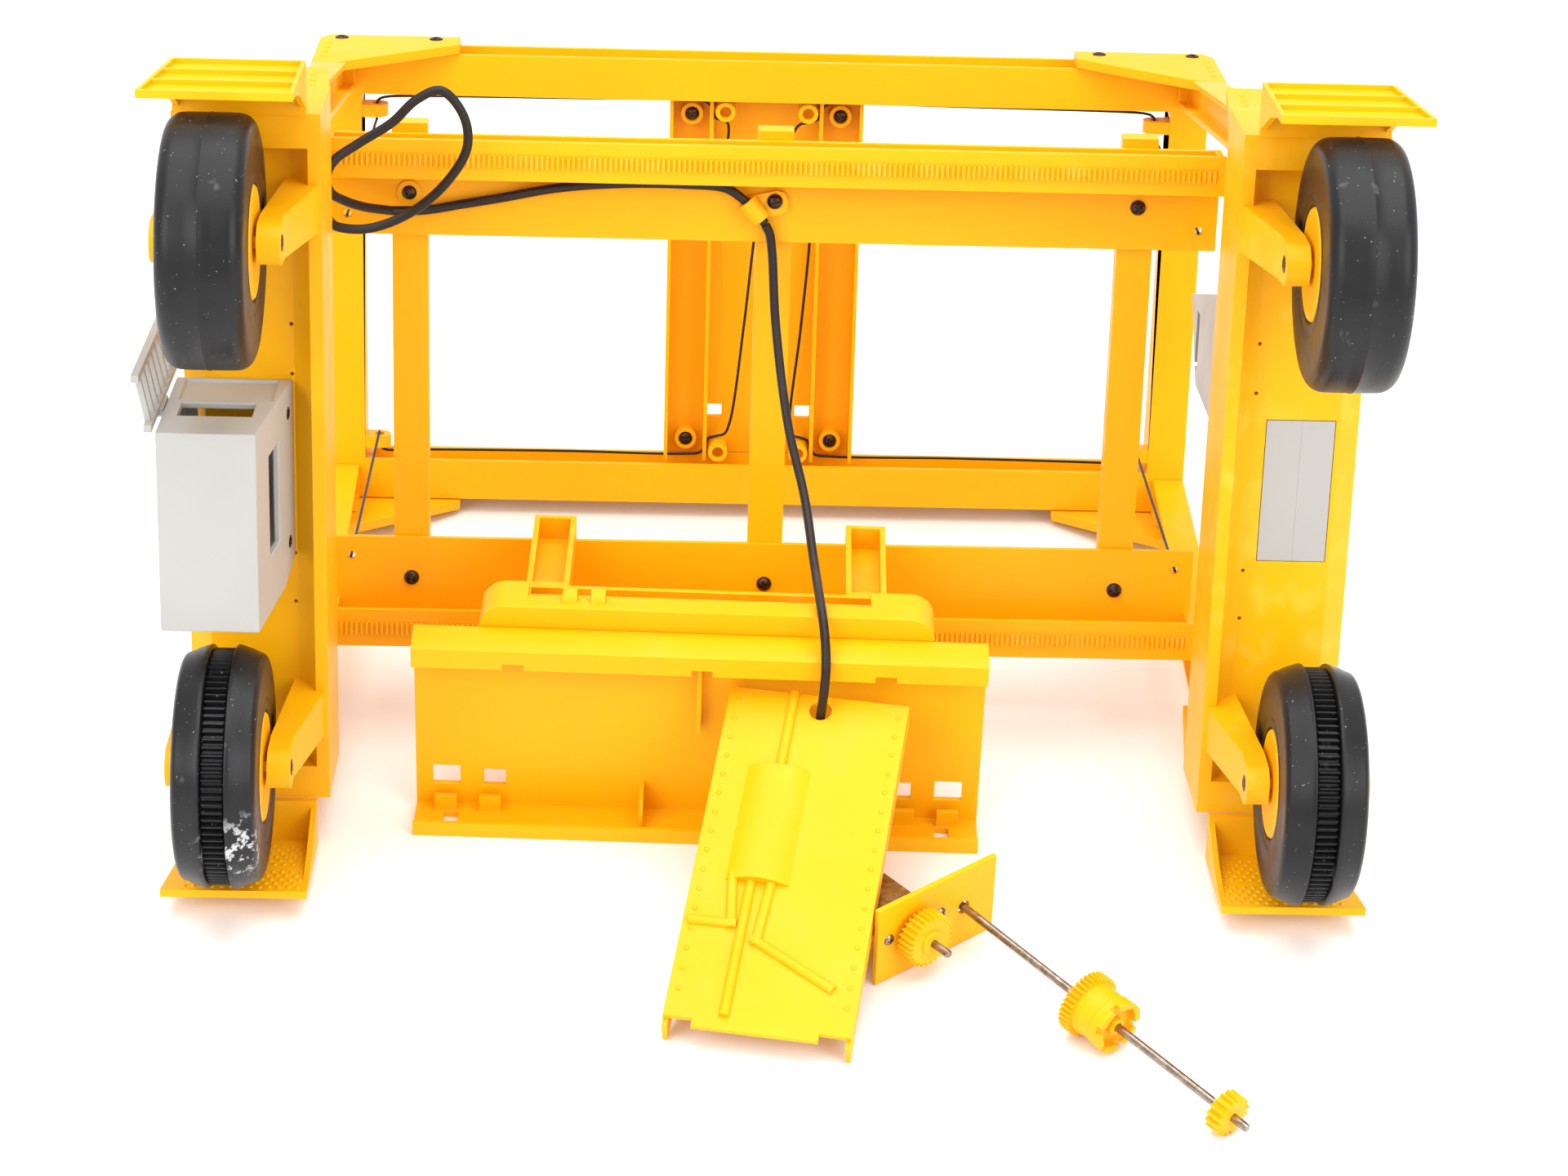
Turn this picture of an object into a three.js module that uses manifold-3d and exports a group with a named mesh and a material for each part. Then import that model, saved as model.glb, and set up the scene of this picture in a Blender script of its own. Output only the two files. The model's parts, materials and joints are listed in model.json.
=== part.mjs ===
// Four-wheel toy gantry chassis standing on its end fenders, with its loose drive unit on the floor.
// Millimetres, +X right, +Y away from the open underside, +Z up; the floor is z = 0.
// The chassis is drawn in its own frame: its origin is midway between the four wheel axles, its Y axis
// runs from the wheels to the far frame, and its Z axis runs from the lower to the upper wheels.
import * as THREE from 'three';
import { mergeVertices } from 'three/addons/utils/BufferGeometryUtils.js';
import Module from 'manifold-3d';

const wasm = await Module();
wasm.setup();

// ---------- driving dimensions ----------
const GAP = 0.3;                 // clearance left between neighbouring pieces
const WHEEL_R = 42;
const AXLE_Z = 93.3;             // half the wheelbase
const TYRE_IN = 173;             // |x| of the inner and outer tyre faces
const TYRE_OUT = 201.5;
const HUB_R = 19;
const AXLE_R = 2;
const AXLE_BORE_R = 2.35;

const SILL_IN = 155.5;           // |x| of the sill's inner side
const SILL_OUT = 205.5;
const SILL_RIDGE_Y = 46;         // front of the sill's inner ridge, level with the fender web
const SILL_FACE_Y = 56;          // front of the sill's main face
const SILL_BACK_Y = 85;
const SILL_HALF = 125;
const SILL_FACE_HALF = 113;      // the main face stops here, and the end blocks begin

const FENDER_IN = 160;
const FENDER_OUT = 210.8;
const FENDER_TOP = 143.3;        // |z| of the outer edge of the fender's ribs
const FENDER_SHEET = 1.2;
const FENDER_RIB = 1.6;

const FAR_Y = 275;               // front of the far frame
const FAR_DEPTH = 18;
const FAR_IN_X = 160;
const FAR_OUT_X = 175;
const FAR_IN_Z = 76;
const FAR_OUT_Z = 92.5;
const LEG_IN_X = 162.4;
const GUSSET_Z = 93;
const GUSSET_T = 4;

const LIFT_HALF = 161.2;         // half the length of the lift frame's beams
const LIFT_PLATE_Y = 136;
const LIFT_RACK_Y = 123;
const TIE_XS = [-132, 0, 132];
const TIE_SCREW_Z = 74.4;

const CABLE_R = 1.7;
const HOIST_CORD_R = 0.55;

// the chassis leans back until the far gussets touch the floor as the lower fenders do
const FENDER_FOOT_Y = 46;
const GUSSET_FOOT_Y = 287;
const LEAN = Math.atan2(FENDER_TOP - (GUSSET_Z + GUSSET_T), GUSSET_FOOT_Y - FENDER_FOOT_Y);
const CHASSIS_LIFT = FENDER_TOP * Math.cos(LEAN) + FENDER_FOOT_Y * Math.sin(LEAN);

// ---------- materials ----------
const plastic = (color, roughness) => new THREE.MeshStandardMaterial({ color, roughness, metalness: 0 });
const YELLOW = plastic(0xffc012, 0.32);
const GREY = plastic(0xcdcbc3, 0.4);
const RUBBER = plastic(0x2b2c2e, 0.55);
const SCREW_STEEL = new THREE.MeshStandardMaterial({ color: 0x2a211d, roughness: 0.4, metalness: 0.8 });
const STEEL = new THREE.MeshStandardMaterial({ color: 0xb9b2a8, roughness: 0.3, metalness: 1 });
const CABLE_SKIN = plastic(0x2a1d18, 0.45);

// ---------- shape helpers ----------
function weld(geometry) {
  const g = geometry.index ? geometry.clone() : mergeVertices(geometry.clone());
  g.deleteAttribute('normal');
  g.deleteAttribute('uv');
  const welded = mergeVertices(g, 1e-4);
  const kept = [];
  for (let i = 0; i < welded.index.count; i += 3) {
    const [a, b, c] = welded.index.array.slice(i, i + 3);
    if (a !== b && b !== c && c !== a) kept.push(a, b, c);
  }
  welded.setIndex(kept);
  return welded;
}

function toSolid(geometry) {
  const g = weld(geometry);
  return new wasm.Manifold(new wasm.Mesh({
    numProp: 3,
    vertProperties: new Float32Array(g.attributes.position.array),
    triVerts: new Uint32Array(g.index.array),
  }));
}

function toGeometry(solid) {
  const mesh = solid.getMesh();
  const g = new THREE.BufferGeometry();
  g.setAttribute('position', new THREE.BufferAttribute(new Float32Array(mesh.vertProperties), 3));
  g.setIndex(new THREE.BufferAttribute(new Uint32Array(mesh.triVerts), 1));
  return g;
}

function join(...pieces) {
  return toGeometry(pieces.map(toSolid).reduce((whole, piece) => whole.add(piece)));
}

function cut(body, ...tools) {
  return toGeometry(tools.map(toSolid).reduce((rest, tool) => rest.subtract(tool), toSolid(body)));
}

const overlap = (a, b) => toGeometry(toSolid(a).intersect(toSolid(b)));

function block(x0, x1, y0, y1, z0, z1) {
  const g = new THREE.BoxGeometry(x1 - x0, y1 - y0, z1 - z0);
  return g.translate((x0 + x1) / 2, (y0 + y1) / 2, (z0 + z1) / 2);
}

function outline(points) {
  return new THREE.Shape(points.map(([a, b]) => new THREE.Vector2(a, b)));
}

function extrude(shape, depth, curveSegments = 10) {
  return new THREE.ExtrudeGeometry(shape, { depth, bevelEnabled: false, curveSegments });
}

const X_AXIS = new THREE.Vector3(1, 0, 0);
const Y_AXIS = new THREE.Vector3(0, 1, 0);
const Z_AXIS = new THREE.Vector3(0, 0, 1);

// an outline in (y, z) swept along x, one in (x, z) swept along y, and one in (x, y) swept along z
function sweepX(shape, x0, x1, segments) {
  const basis = new THREE.Matrix4().makeBasis(Y_AXIS, Z_AXIS, X_AXIS);
  return extrude(shape, x1 - x0, segments).applyMatrix4(basis).translate(x0, 0, 0);
}

function sweepY(shape, y0, y1, segments) {
  const basis = new THREE.Matrix4().makeBasis(X_AXIS, Z_AXIS, Y_AXIS.clone().negate());
  return extrude(shape, y1 - y0, segments).applyMatrix4(basis).translate(0, y1, 0);
}

function sweepZ(shape, z0, z1, segments) {
  return extrude(shape, z1 - z0, segments).translate(0, 0, z0);
}

// a (radius, x) profile turned about the X axis; one that starts off the axis closes on itself
function turnX(profile, segments = 40) {
  const points = profile.map(([r, x]) => new THREE.Vector2(r, x));
  if (points[0].x > 0) points.push(points[0].clone());
  return weld(new THREE.LatheGeometry(points, segments).rotateZ(-Math.PI / 2));
}

function rodX(radius, x0, x1, segments = 24) {
  const g = new THREE.CylinderGeometry(radius, radius, x1 - x0, segments);
  return g.rotateZ(Math.PI / 2).translate((x0 + x1) / 2, 0, 0);
}

function rodY(radius, y0, y1, segments = 20) {
  return new THREE.CylinderGeometry(radius, radius, y1 - y0, segments).translate(0, (y0 + y1) / 2, 0);
}

function rodZ(radius, z0, z1, segments = 20) {
  const g = new THREE.CylinderGeometry(radius, radius, z1 - z0, segments);
  return g.rotateX(Math.PI / 2).translate(0, 0, (z0 + z1) / 2);
}

// a spur gear outline with flat-topped teeth
function gearShape(teeth, rootR, tipR) {
  const points = [];
  const pitch = (2 * Math.PI) / teeth;
  for (let i = 0; i < teeth; i++) {
    for (const [part, r] of [[0, rootR], [0.33, tipR], [0.67, tipR]]) {
      const a = (i + part) * pitch;
      points.push([r * Math.cos(a), r * Math.sin(a)]);
    }
  }
  return outline(points);
}

// a cord through the given points; its steps follow their spacing, so bends are given more points
function tube(points, radius, sides, stepsPerSpan) {
  const circle = new THREE.Shape();
  for (let i = 0; i < sides; i++) {
    const a = (2 * Math.PI * i) / sides;
    if (i === 0) circle.moveTo(radius * Math.cos(a), radius * Math.sin(a));
    else circle.lineTo(radius * Math.cos(a), radius * Math.sin(a));
  }
  const vectors = points.map((p) => new THREE.Vector3(...p));
  const path = new THREE.CatmullRomCurve3(vectors, false, 'centripetal');
  path.getUtoTmapping = (u) => u;
  const steps = (points.length - 1) * stepsPerSpan;
  return new THREE.ExtrudeGeometry(circle, { steps, extrudePath: path, bevelEnabled: false });
}

// ---------- assembly ----------
const model = new THREE.Group();
const chassis = new THREE.Group();
chassis.rotation.x = -LEAN;
chassis.position.z = CHASSIS_LIFT;
model.add(chassis);

function place(parent, name, geometry, material) {
  const mesh = new THREE.Mesh(geometry, material);
  mesh.name = name;
  parent.add(mesh);
  return mesh;
}

const CORNERS = [
  { name: 'upper_left', sx: -1, sz: 1 },
  { name: 'upper_right', sx: 1, sz: 1 },
  { name: 'lower_left', sx: -1, sz: -1 },
  { name: 'lower_right', sx: 1, sz: -1 },
];

// an odd mirroring turns the faces inside out, so the triangles are wound the other way
function mirrored(geometry, sx, sz) {
  const g = weld(geometry).applyMatrix4(new THREE.Matrix4().makeScale(sx, 1, sz));
  if (sx * sz > 0) return g;
  const index = g.index.array;
  for (let i = 0; i < index.length; i += 3) [index[i], index[i + 1]] = [index[i + 1], index[i]];
  return g;
}

// ---------- sills with their wheel forks ----------
function forkArm(xyOutline) {
  const side = new THREE.Shape();
  side.moveTo(SILL_FACE_Y + 4, AXLE_Z + 7);
  side.lineTo(0, AXLE_Z + 7.25);
  side.absarc(0, AXLE_Z, 7.25, Math.PI / 2, (3 * Math.PI) / 2, false);
  side.lineTo(SILL_FACE_Y + 4, AXLE_Z - 10);
  const arm = overlap(sweepZ(outline(xyOutline), AXLE_Z - 15, AXLE_Z + 15), sweepX(side, 150, 212, 8));
  return cut(arm, rodX(AXLE_BORE_R, 150, 212).translate(0, 0, AXLE_Z));
}

function endBlock() {
  return block(SILL_IN, SILL_OUT, SILL_RIDGE_Y, SILL_BACK_Y, SILL_FACE_HALF, SILL_HALF);
}

function sillGeometry() {
  const section = outline([
    [SILL_IN, SILL_RIDGE_Y], [160, SILL_RIDGE_Y], [162.5, 52], [166.5, SILL_FACE_Y], [197.5, SILL_FACE_Y],
    [SILL_OUT, 63], [SILL_OUT, SILL_BACK_Y], [SILL_IN, SILL_BACK_Y],
  ]);
  const innerArm = forkArm([
    [156, 50], [164.4, 8], [164.4, -8], [172.2, -8], [172.2, 10], [168, 60], [156, 60],
  ]);
  const outerArm = forkArm([[199, 60], [202.3, 47], [202.3, -8], [207, -8], [207, 14], [205.4, 60]]);
  const upper = [endBlock(), innerArm, outerArm];
  const lower = upper.map((piece) => mirrored(piece, 1, -1));
  const body = join(sweepZ(section, -SILL_HALF, SILL_HALF), ...upper, ...lower);
  return cut(body, block(160, 201, 66, SILL_BACK_Y + 1, -SILL_HALF + 6, SILL_HALF - 6));
}

function buildSills() {
  const sill = sillGeometry();
  const panelPocket = block(171.7, 196.3, SILL_FACE_Y - 1, SILL_FACE_Y + 1.2, -31.9, 20.9);
  place(chassis, 'sill_right', cut(sill, panelPocket), YELLOW);
  place(chassis, 'sill_left', sill.clone(), YELLOW).scale.x = -1;
}

// ---------- wheels ----------
const TYRE_MID = (TYRE_IN + TYRE_OUT) / 2;
const SMOOTH_TYRE = [
  [HUB_R + GAP, TYRE_IN + 0.6], [30, TYRE_IN], [38, TYRE_IN + 0.8], [41.2, TYRE_IN + 4], [WHEEL_R, TYRE_MID],
  [41.2, TYRE_OUT - 4], [38, TYRE_OUT - 0.8], [30, TYRE_OUT], [HUB_R + GAP, TYRE_OUT - 0.6],
];
const GROOVE_HALF = 4;
const GROOVE_R = 37;
const SPLIT_TYRE = [
  [HUB_R + GAP, TYRE_IN + 0.6], [30, TYRE_IN], [38, TYRE_IN + 1], [41.2, TYRE_IN + 5],
  [WHEEL_R, TYRE_MID - GROOVE_HALF], [GROOVE_R, TYRE_MID - GROOVE_HALF],
  [GROOVE_R, TYRE_MID + GROOVE_HALF], [WHEEL_R, TYRE_MID + GROOVE_HALF],
  [41.2, TYRE_OUT - 5], [38, TYRE_OUT - 1], [30, TYRE_OUT], [HUB_R + GAP, TYRE_OUT - 0.6],
];
const DRIVE_RING = [
  [GROOVE_R + GAP, TYRE_MID - GROOVE_HALF + GAP], [39.6, TYRE_MID - GROOVE_HALF + GAP],
  [39.6, TYRE_MID + GROOVE_HALF - GAP], [GROOVE_R + GAP, TYRE_MID + GROOVE_HALF - GAP],
];

function hubGeometry() {
  const disc = turnX([
    [0, TYRE_IN + 0.2], [HUB_R - 0.8, TYRE_IN + 0.2], [HUB_R, TYRE_IN + 1], [HUB_R, TYRE_OUT - 1],
    [HUB_R - 0.8, TYRE_OUT - 0.2], [0, TYRE_OUT - 0.2],
  ], 28);
  return join(disc, rodX(AXLE_R, 165, 206.4, 12));
}

function buildWheels() {
  for (const { name, sx, sz } of CORNERS) {
    const wheel = new THREE.Group();
    wheel.position.set(0, 0, sz * AXLE_Z);
    wheel.scale.x = sx;
    chassis.add(wheel);
    place(wheel, `tyre_${name}`, turnX(sz > 0 ? SMOOTH_TYRE : SPLIT_TYRE, 36), RUBBER);
    place(wheel, `hub_${name}`, hubGeometry(), YELLOW);
    if (sz < 0) place(wheel, `drive_ring_${name}`, turnX(DRIVE_RING, 36), RUBBER);
  }
}

// ---------- end fenders ----------
function fenderGeometry() {
  const inner = FENDER_TOP - FENDER_RIB - FENDER_SHEET;
  const sheetPlan = outline([
    [FENDER_IN, 0], [FENDER_OUT, 0], [FENDER_OUT - 6, FENDER_FOOT_Y], [FENDER_IN, FENDER_FOOT_Y],
  ]);
  const sideRim = outline([
    [FENDER_OUT - 1.4, 0], [FENDER_OUT, 0], [FENDER_OUT - 6, FENDER_FOOT_Y], [FENDER_OUT - 7.4, FENDER_FOOT_Y],
  ]);
  const pieces = [
    sweepZ(sheetPlan, inner, inner + FENDER_SHEET),
    sweepZ(sideRim, inner + 0.5, FENDER_TOP),
    block(FENDER_IN, FENDER_IN + 1.4, 0, FENDER_FOOT_Y, inner + 0.5, FENDER_TOP),
  ];
  for (const y of [0, 14.8, 29.8, 44.6]) {
    const ribOut = FENDER_OUT - 0.4 - y * 0.13;
    pieces.push(block(FENDER_IN, ribOut, y, y + 1.4, inner + 0.5, FENDER_TOP));
  }
  pieces.push(block(FENDER_IN, 204.6, 43, FENDER_FOOT_Y, SILL_HALF + GAP, inner + 0.5));
  const bracket = outline([[44, SILL_HALF + GAP + 2], [44, inner + 0.5], [6, inner + 0.5], [24, inner - 4]]);
  pieces.push(sweepX(bracket, FENDER_IN, FENDER_IN + 2), sweepX(bracket, 202.2, 204.2));
  return join(...pieces);
}

function buildFenders() {
  const geometry = fenderGeometry();
  for (const { name, sx, sz } of CORNERS) {
    place(chassis, `fender_${name}`, geometry, YELLOW).scale.set(sx, 1, sz);
  }
}

// ---------- legs ----------
const LEG_FOOT_Y = SILL_BACK_Y + GAP;
const LEG_HEAD_Y = FAR_Y - GAP;

function legGeometry() {
  const side = (inset) => outline([
    [LEG_FOOT_Y, 104 + inset], [LEG_FOOT_Y, 120.2 - inset],
    [LEG_HEAD_Y, 92.4 - inset], [LEG_HEAD_Y, 78.4 + inset],
  ]);
  const bar = sweepX(side(0), LEG_IN_X, FAR_OUT_X);
  const footPlate = outline([[SILL_IN, LEG_FOOT_Y], [203, LEG_FOOT_Y], [178, 128], [160, 128]]);
  const foot = sweepZ(footPlate, 117.5, 121.5);
  const channels = [sweepX(side(2.2), LEG_IN_X - 1, 167), sweepX(side(2.2), 169.2, FAR_OUT_X + 1)];
  const inner = block(LEG_IN_X - 1, FAR_OUT_X + 1, LEG_FOOT_Y + 3, LEG_HEAD_Y - 3, 60, 130);
  const pockets = channels.map((channel) => overlap(channel, inner));
  const gussetSeat = block(150, 180, 232, FAR_Y + 1, GUSSET_Z - GAP, 110);
  return join(cut(bar, ...pockets, gussetSeat), foot);
}

function buildLegs() {
  const geometry = legGeometry();
  for (const { name, sx, sz } of CORNERS) {
    place(chassis, `leg_${name}`, geometry, YELLOW).scale.set(sx, 1, sz);
  }
}

// ---------- far frame, gussets and hoist channel ----------
const CORD_EYE_X = 154.4;

// a lug inside each corner of the far frame, which the hoist cord drops through
function cordEye() {
  const y = 280;
  const shape = new THREE.Shape();
  shape.moveTo(FAR_IN_X + 0.5, y - 4.6);
  shape.lineTo(FAR_IN_X + 0.5, y + 4.6);
  shape.lineTo(CORD_EYE_X, y + 4.6);
  shape.absarc(CORD_EYE_X, y, 4.6, Math.PI / 2, (3 * Math.PI) / 2, false);
  return cut(sweepZ(shape, 66.5, 71.5, 8), rodZ(1.9, 60, 76, 12).translate(CORD_EYE_X, y, 0));
}

function farFrameGeometry() {
  const back = FAR_Y + FAR_DEPTH;
  const ring = cut(block(-FAR_OUT_X, FAR_OUT_X, FAR_Y, back, -FAR_OUT_Z, FAR_OUT_Z),
    block(-FAR_IN_X, FAR_IN_X, FAR_Y - 1, back + 1, -FAR_IN_Z, FAR_IN_Z));
  const channels = [];
  for (const s of [-1, 1]) {
    const inward = [s * 75, s * 83].sort((a, b) => a - b);
    const outward = [s * 85.2, s * 94].sort((a, b) => a - b);
    channels.push(block(-157, 157, FAR_Y + 2.2, back - 2.2, ...inward));
    channels.push(block(-157, 157, FAR_Y + 2.2, back - 2.2, ...outward));
    const side = [s * 168.5, s * 176].sort((a, b) => a - b);
    channels.push(block(...side, FAR_Y + 2.2, back - 2.2, -72, 72));
  }
  const eye = cordEye();
  return join(cut(ring, ...channels), ...CORNERS.map(({ sx, sz }) => mirrored(eye, sx, sz)));
}

function gussetGeometry() {
  const plan = outline([[121.5, 274], [174.5, 234], [176.5, 240], [176.5, 281], [173, 287], [121.5, 287]]);
  return sweepZ(plan, GUSSET_Z, GUSSET_Z + GUSSET_T);
}

function hoistChannelGeometry() {
  const z = FAR_IN_Z - GAP;
  const pieces = [block(-38.5, 38.5, 291.6, 294, -z, z)];
  for (const s of [-1, 1]) {
    for (const [a, b] of [[37, 38.5], [21, 22.6]]) {
      const xs = s > 0 ? [a, b] : [-b, -a];
      pieces.push(block(...xs, 280, 292, -z, z));
    }
    for (const sz of [-1, 1]) {
      pieces.push(rodY(4.2, 286.5, 292, 12).translate(s * 29.6, 0, sz * 68.3));
      pieces.push(rodY(4, 277, 292, 12).translate(s * 16.4, 0, sz * 71.2));
    }
  }
  const slots = [-1, 1].map((s) => block(s * 18 - 3, s * 18 + 3, 290, 295, -60, -55));
  const notches = [-1, 1].map((s) => block(-40, 40, 282.6, 285.4, s * 74.8 - 1.8, s * 74.8 + 1.8));
  const between = block(-20.5, 20.5, 280, 290, -80, 80);
  for (const { sx, sz } of CORNERS) {
    notches.push(mirrored(block(20.5, 23.1, 282.6, 285.4, 64, 76.6), sx, sz));
  }
  return cut(join(...pieces), ...slots, ...notches.map((notch) => cut(notch, between)));
}

function buildFarEnd() {
  place(chassis, 'far_frame', farFrameGeometry(), YELLOW);
  place(chassis, 'hoist_channel', hoistChannelGeometry(), YELLOW);
  const gusset = gussetGeometry();
  for (const { name, sx, sz } of CORNERS) {
    place(chassis, `gusset_${name}`, gusset, YELLOW).scale.set(sx, 1, sz);
  }
}

// ---------- cabinets on the sills ----------
function cabinetGeometry() {
  const side = outline([[-5, -42], [-5, 28.7], [55.6, 28.7], [55.6, -36], [38, -42]]);
  const plan = outline([[-207, -5], [-173.8, -5], [-167.2, 55.6], [-207, 55.6]]);
  const shell = overlap(sweepX(side, -208, -166), sweepZ(plan, -50, 40));
  const room = outline([[-204.6, -2.6], [-176, -2.6], [-169.8, 53.2], [-204.6, 53.2]]);
  const inside = sweepZ(room, -39.6, 26.3);
  const window = block(-202, -177, 14, 28, 20, 30);
  const shallowTop = block(-203.4, -171.8, 31, 53.4, 27.6, 30);
  const sideWindow = block(-178, -160, 15, 31, -22, 14);
  const backOpening = block(-200, -178, 50, 57, -30, 20);
  return cut(shell, inside, window, shallowTop, sideWindow, backOpening);
}

function ladderGeometry() {
  const pieces = [block(-211.2, -208.6, -1.2, 80, 27.4, 30), block(-215, -212.4, -1.2, 80, 44.6, 47.2)];
  for (let i = 0; i < 9; i++) {
    const y = 3 + i * 9.3;
    pieces.push(sweepY(outline([[-210.9, 28], [-208.9, 28], [-212.7, 46.6], [-214.7, 46.6]]), y, y + 2.2));
  }
  pieces.push(block(-211, -207.3, 20, 34, 26, 29));
  return join(...pieces);
}

function cabGeometry() {
  const side = outline([[SILL_BACK_Y + GAP, 38], [150, 38], [222, 17], [197, -12], [SILL_BACK_Y + GAP, -12]]);
  const slits = [155, 167, 179].map((y) => block(172, 190, y, y + 3.2, 20, 42));
  const shell = sweepX(side, 166, 196);
  const room = sweepX(outline([[90, 34], [149, 34], [214, 15], [194, -8], [90, -8]]), 168.4, 193.6);
  return cut(shell, room, block(160, 170, 196, 203, -6, 16), ...slits);
}

function buildCabinets() {
  place(chassis, 'control_cabinet', cabinetGeometry(), GREY);
  place(chassis, 'access_ladder', ladderGeometry(), GREY);
  place(chassis, 'driver_cab', cabGeometry(), GREY);
  place(chassis, 'sill_panel', block(172, 196, SILL_FACE_Y - 0.1, SILL_FACE_Y + 0.9, -31.6, 20.6), GREY);
  const flange = rodY(2.6, SILL_BACK_Y + GAP, SILL_BACK_Y + 2, 16);
  const gland = join(flange, rodY(2.3, SILL_BACK_Y + 1, SILL_BACK_Y + 7, 16));
  place(chassis, 'cable_gland', gland.translate(-158.2, 0, 76), YELLOW);
}

// ---------- lift frame ----------
function liftBeamGeometry() {
  const rackBack = LIFT_RACK_Y + 2.2;
  const pieces = [
    block(-LIFT_HALF, LIFT_HALF, LIFT_PLATE_Y, LIFT_PLATE_Y + 2.2, 58.5, 96),
    block(-LIFT_HALF, LIFT_HALF, LIFT_RACK_Y, rackBack, 82.6, 97.2),
    block(-LIFT_HALF, LIFT_HALF, rackBack - 0.2, LIFT_PLATE_Y + 0.2, 88, 90.2),
  ];
  for (const x of [-LIFT_HALF, LIFT_HALF - 2.4]) {
    pieces.push(block(x, x + 2.4, rackBack - 0.2, LIFT_PLATE_Y + 0.2, 82.6, 96));
  }
  const holes = TIE_XS.map((x) => rodY(1.7, 130, 142, 12).translate(x, 0, TIE_SCREW_Z));
  const cordHoles = [-1, 1].map((s) => rodY(1.6, 130, 142, 10).translate(s * CORD_EYE_X, 0, 66));
  return cut(join(...pieces), ...holes, ...cordHoles);
}

function tieGeometry() {
  const front = LIFT_PLATE_Y + 2.2 + GAP;
  const bar = block(-6.5, 6.5, front, front + 8, -98, 99.4);
  const channel = block(-4.3, 4.3, front + 2.2, front + 9, -94, 95.4);
  const holes = [-1, 1].map((s) => rodY(1.7, 130, 150, 12).translate(0, 0, s * TIE_SCREW_Z));
  return cut(bar, channel, ...holes);
}

function tieScrewGeometry() {
  const head = turnX([[0, -2.2], [1.9, -1.9], [2.8, -0.9], [2.8, -GAP], [0, -GAP]], 12);
  const shank = rodX(1.3, -1, 5.6, 8);
  return join(head, shank).rotateZ(Math.PI / 2);
}

const CLIP_X = -7.5;
const CLIP_Y = 132;
const CLIP_Z = 71.5;

function cableClipGeometry() {
  const tilt = -0.7;
  const loop = cut(rodX(3.6, -4.2, 4.2, 20), rodX(2.1, -6, 6, 16)).rotateY(Math.PI / 2 + tilt);
  const tab = block(-3, 13.2, LIFT_PLATE_Y - GAP - 1.8, LIFT_PLATE_Y - GAP, -3, 8);
  const screwHole = rodY(1.7, 130, 140, 12).translate(-CLIP_X, 0, TIE_SCREW_Z - CLIP_Z);
  const bore = rodX(2.1, -12, 12, 16).rotateY(Math.PI / 2 + tilt).translate(0, CLIP_Y, 0);
  return cut(join(loop.translate(0, CLIP_Y, 0), tab), screwHole, bore);
}

function buildLiftFrame() {
  const beam = liftBeamGeometry();
  place(chassis, 'lift_beam_upper', beam, YELLOW);
  place(chassis, 'lift_beam_lower', beam, YELLOW).scale.z = -1;
  const screw = tieScrewGeometry();
  TIE_XS.forEach((x, i) => {
    const side = ['left', 'middle', 'right'][i];
    place(chassis, `lift_tie_${side}`, tieGeometry(), YELLOW).position.x = x;
    for (const [level, sz] of [['upper', 1], ['lower', -1]]) {
      const seat = level === 'upper' && side === 'middle' ? LIFT_PLATE_Y - GAP - 1.8 : LIFT_PLATE_Y;
      const head = place(chassis, `tie_screw_${level}_${side}`, screw, SCREW_STEEL);
      head.position.set(x, seat, sz * TIE_SCREW_Z);
    }
  });
  const clip = place(chassis, 'cable_clip', cableClipGeometry(), YELLOW);
  clip.position.set(CLIP_X, 0, CLIP_Z);
}

// ---------- loose trolley tray and carriage ----------
const TRAY_HALF = 102;
const TRAY_TURN = THREE.MathUtils.degToRad(-1.7);
const TRAY_AT = [-24.6, 21.5, 0];

function trayGeometry() {
  const section = outline([
    [0, 0], [0, 5.6], [2, 5.6], [3, 2.6], [17.6, 2.6], [17.6, 72], [8, 74.5], [8, 68.2], [6, 68.2], [6, 76],
    [12, 77.6], [19.8, 77.6], [19.8, 0],
  ]);
  const slots = [];
  for (const s of [-1, 1]) {
    slots.push(block(s * 91 - 5, s * 91 + 5, 15, 22, 11, 19));
    slots.push(block(s * 73.5 - 4, s * 73.5 + 4, 15, 22, 11, 18));
    slots.push(block(s * 89 - 2.6, s * 89 + 2.6, 6, 12, -1, 4));
    slots.push(block(s * 66 - 3.8, s * 66 + 3.8, 5, 9, 66, 70.6));
  }
  slots.push(block(-2.8, 4.6, 5, 9, 66, 70.6));
  const posts = [-91, -75, 75, 91].map((x) => block(x - 4, x + 4, 12.4, 14.6, 2.4, 9));
  const ribs = [block(-0.8, 0.8, 12, 18, 40, 73), block(-20.8, -19.2, 5, 18, 2.4, 15)];
  return join(cut(sweepX(section, -TRAY_HALF, TRAY_HALF, 4), ...slots), ...posts, ...ribs);
}

function carriageGeometry() {
  const front = 20.3;
  const back = 38;
  const face = new THREE.Shape();
  const [left, right, low, high, r] = [-79, 83, 16, 86, 9];
  face.moveTo(left, low);
  face.lineTo(right, low);
  face.lineTo(right, high - r);
  face.absarc(right - r, high - r, r, 0, Math.PI / 2, false);
  face.lineTo(left + r, high);
  face.absarc(left + r, high - r, r, Math.PI / 2, Math.PI, false);
  const shell = cut(sweepY(face, front, back, 6),
    block(left + 2.4, right - 2.4, front + 2.4, back + 1, low - 1, high - 3),
    block(-62, 60, front + 8, back + 1, high - 7, high + 1));
  const hooks = [-47, -37].map((x) => cut(rodX(4, x - 2.6, x + 2.6, 16).translate(0, front + 8, high - 3),
    rodX(1.8, x - 3, x + 3, 12).translate(0, front + 8, high - 3)));
  return join(shell, ...hooks);
}

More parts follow.
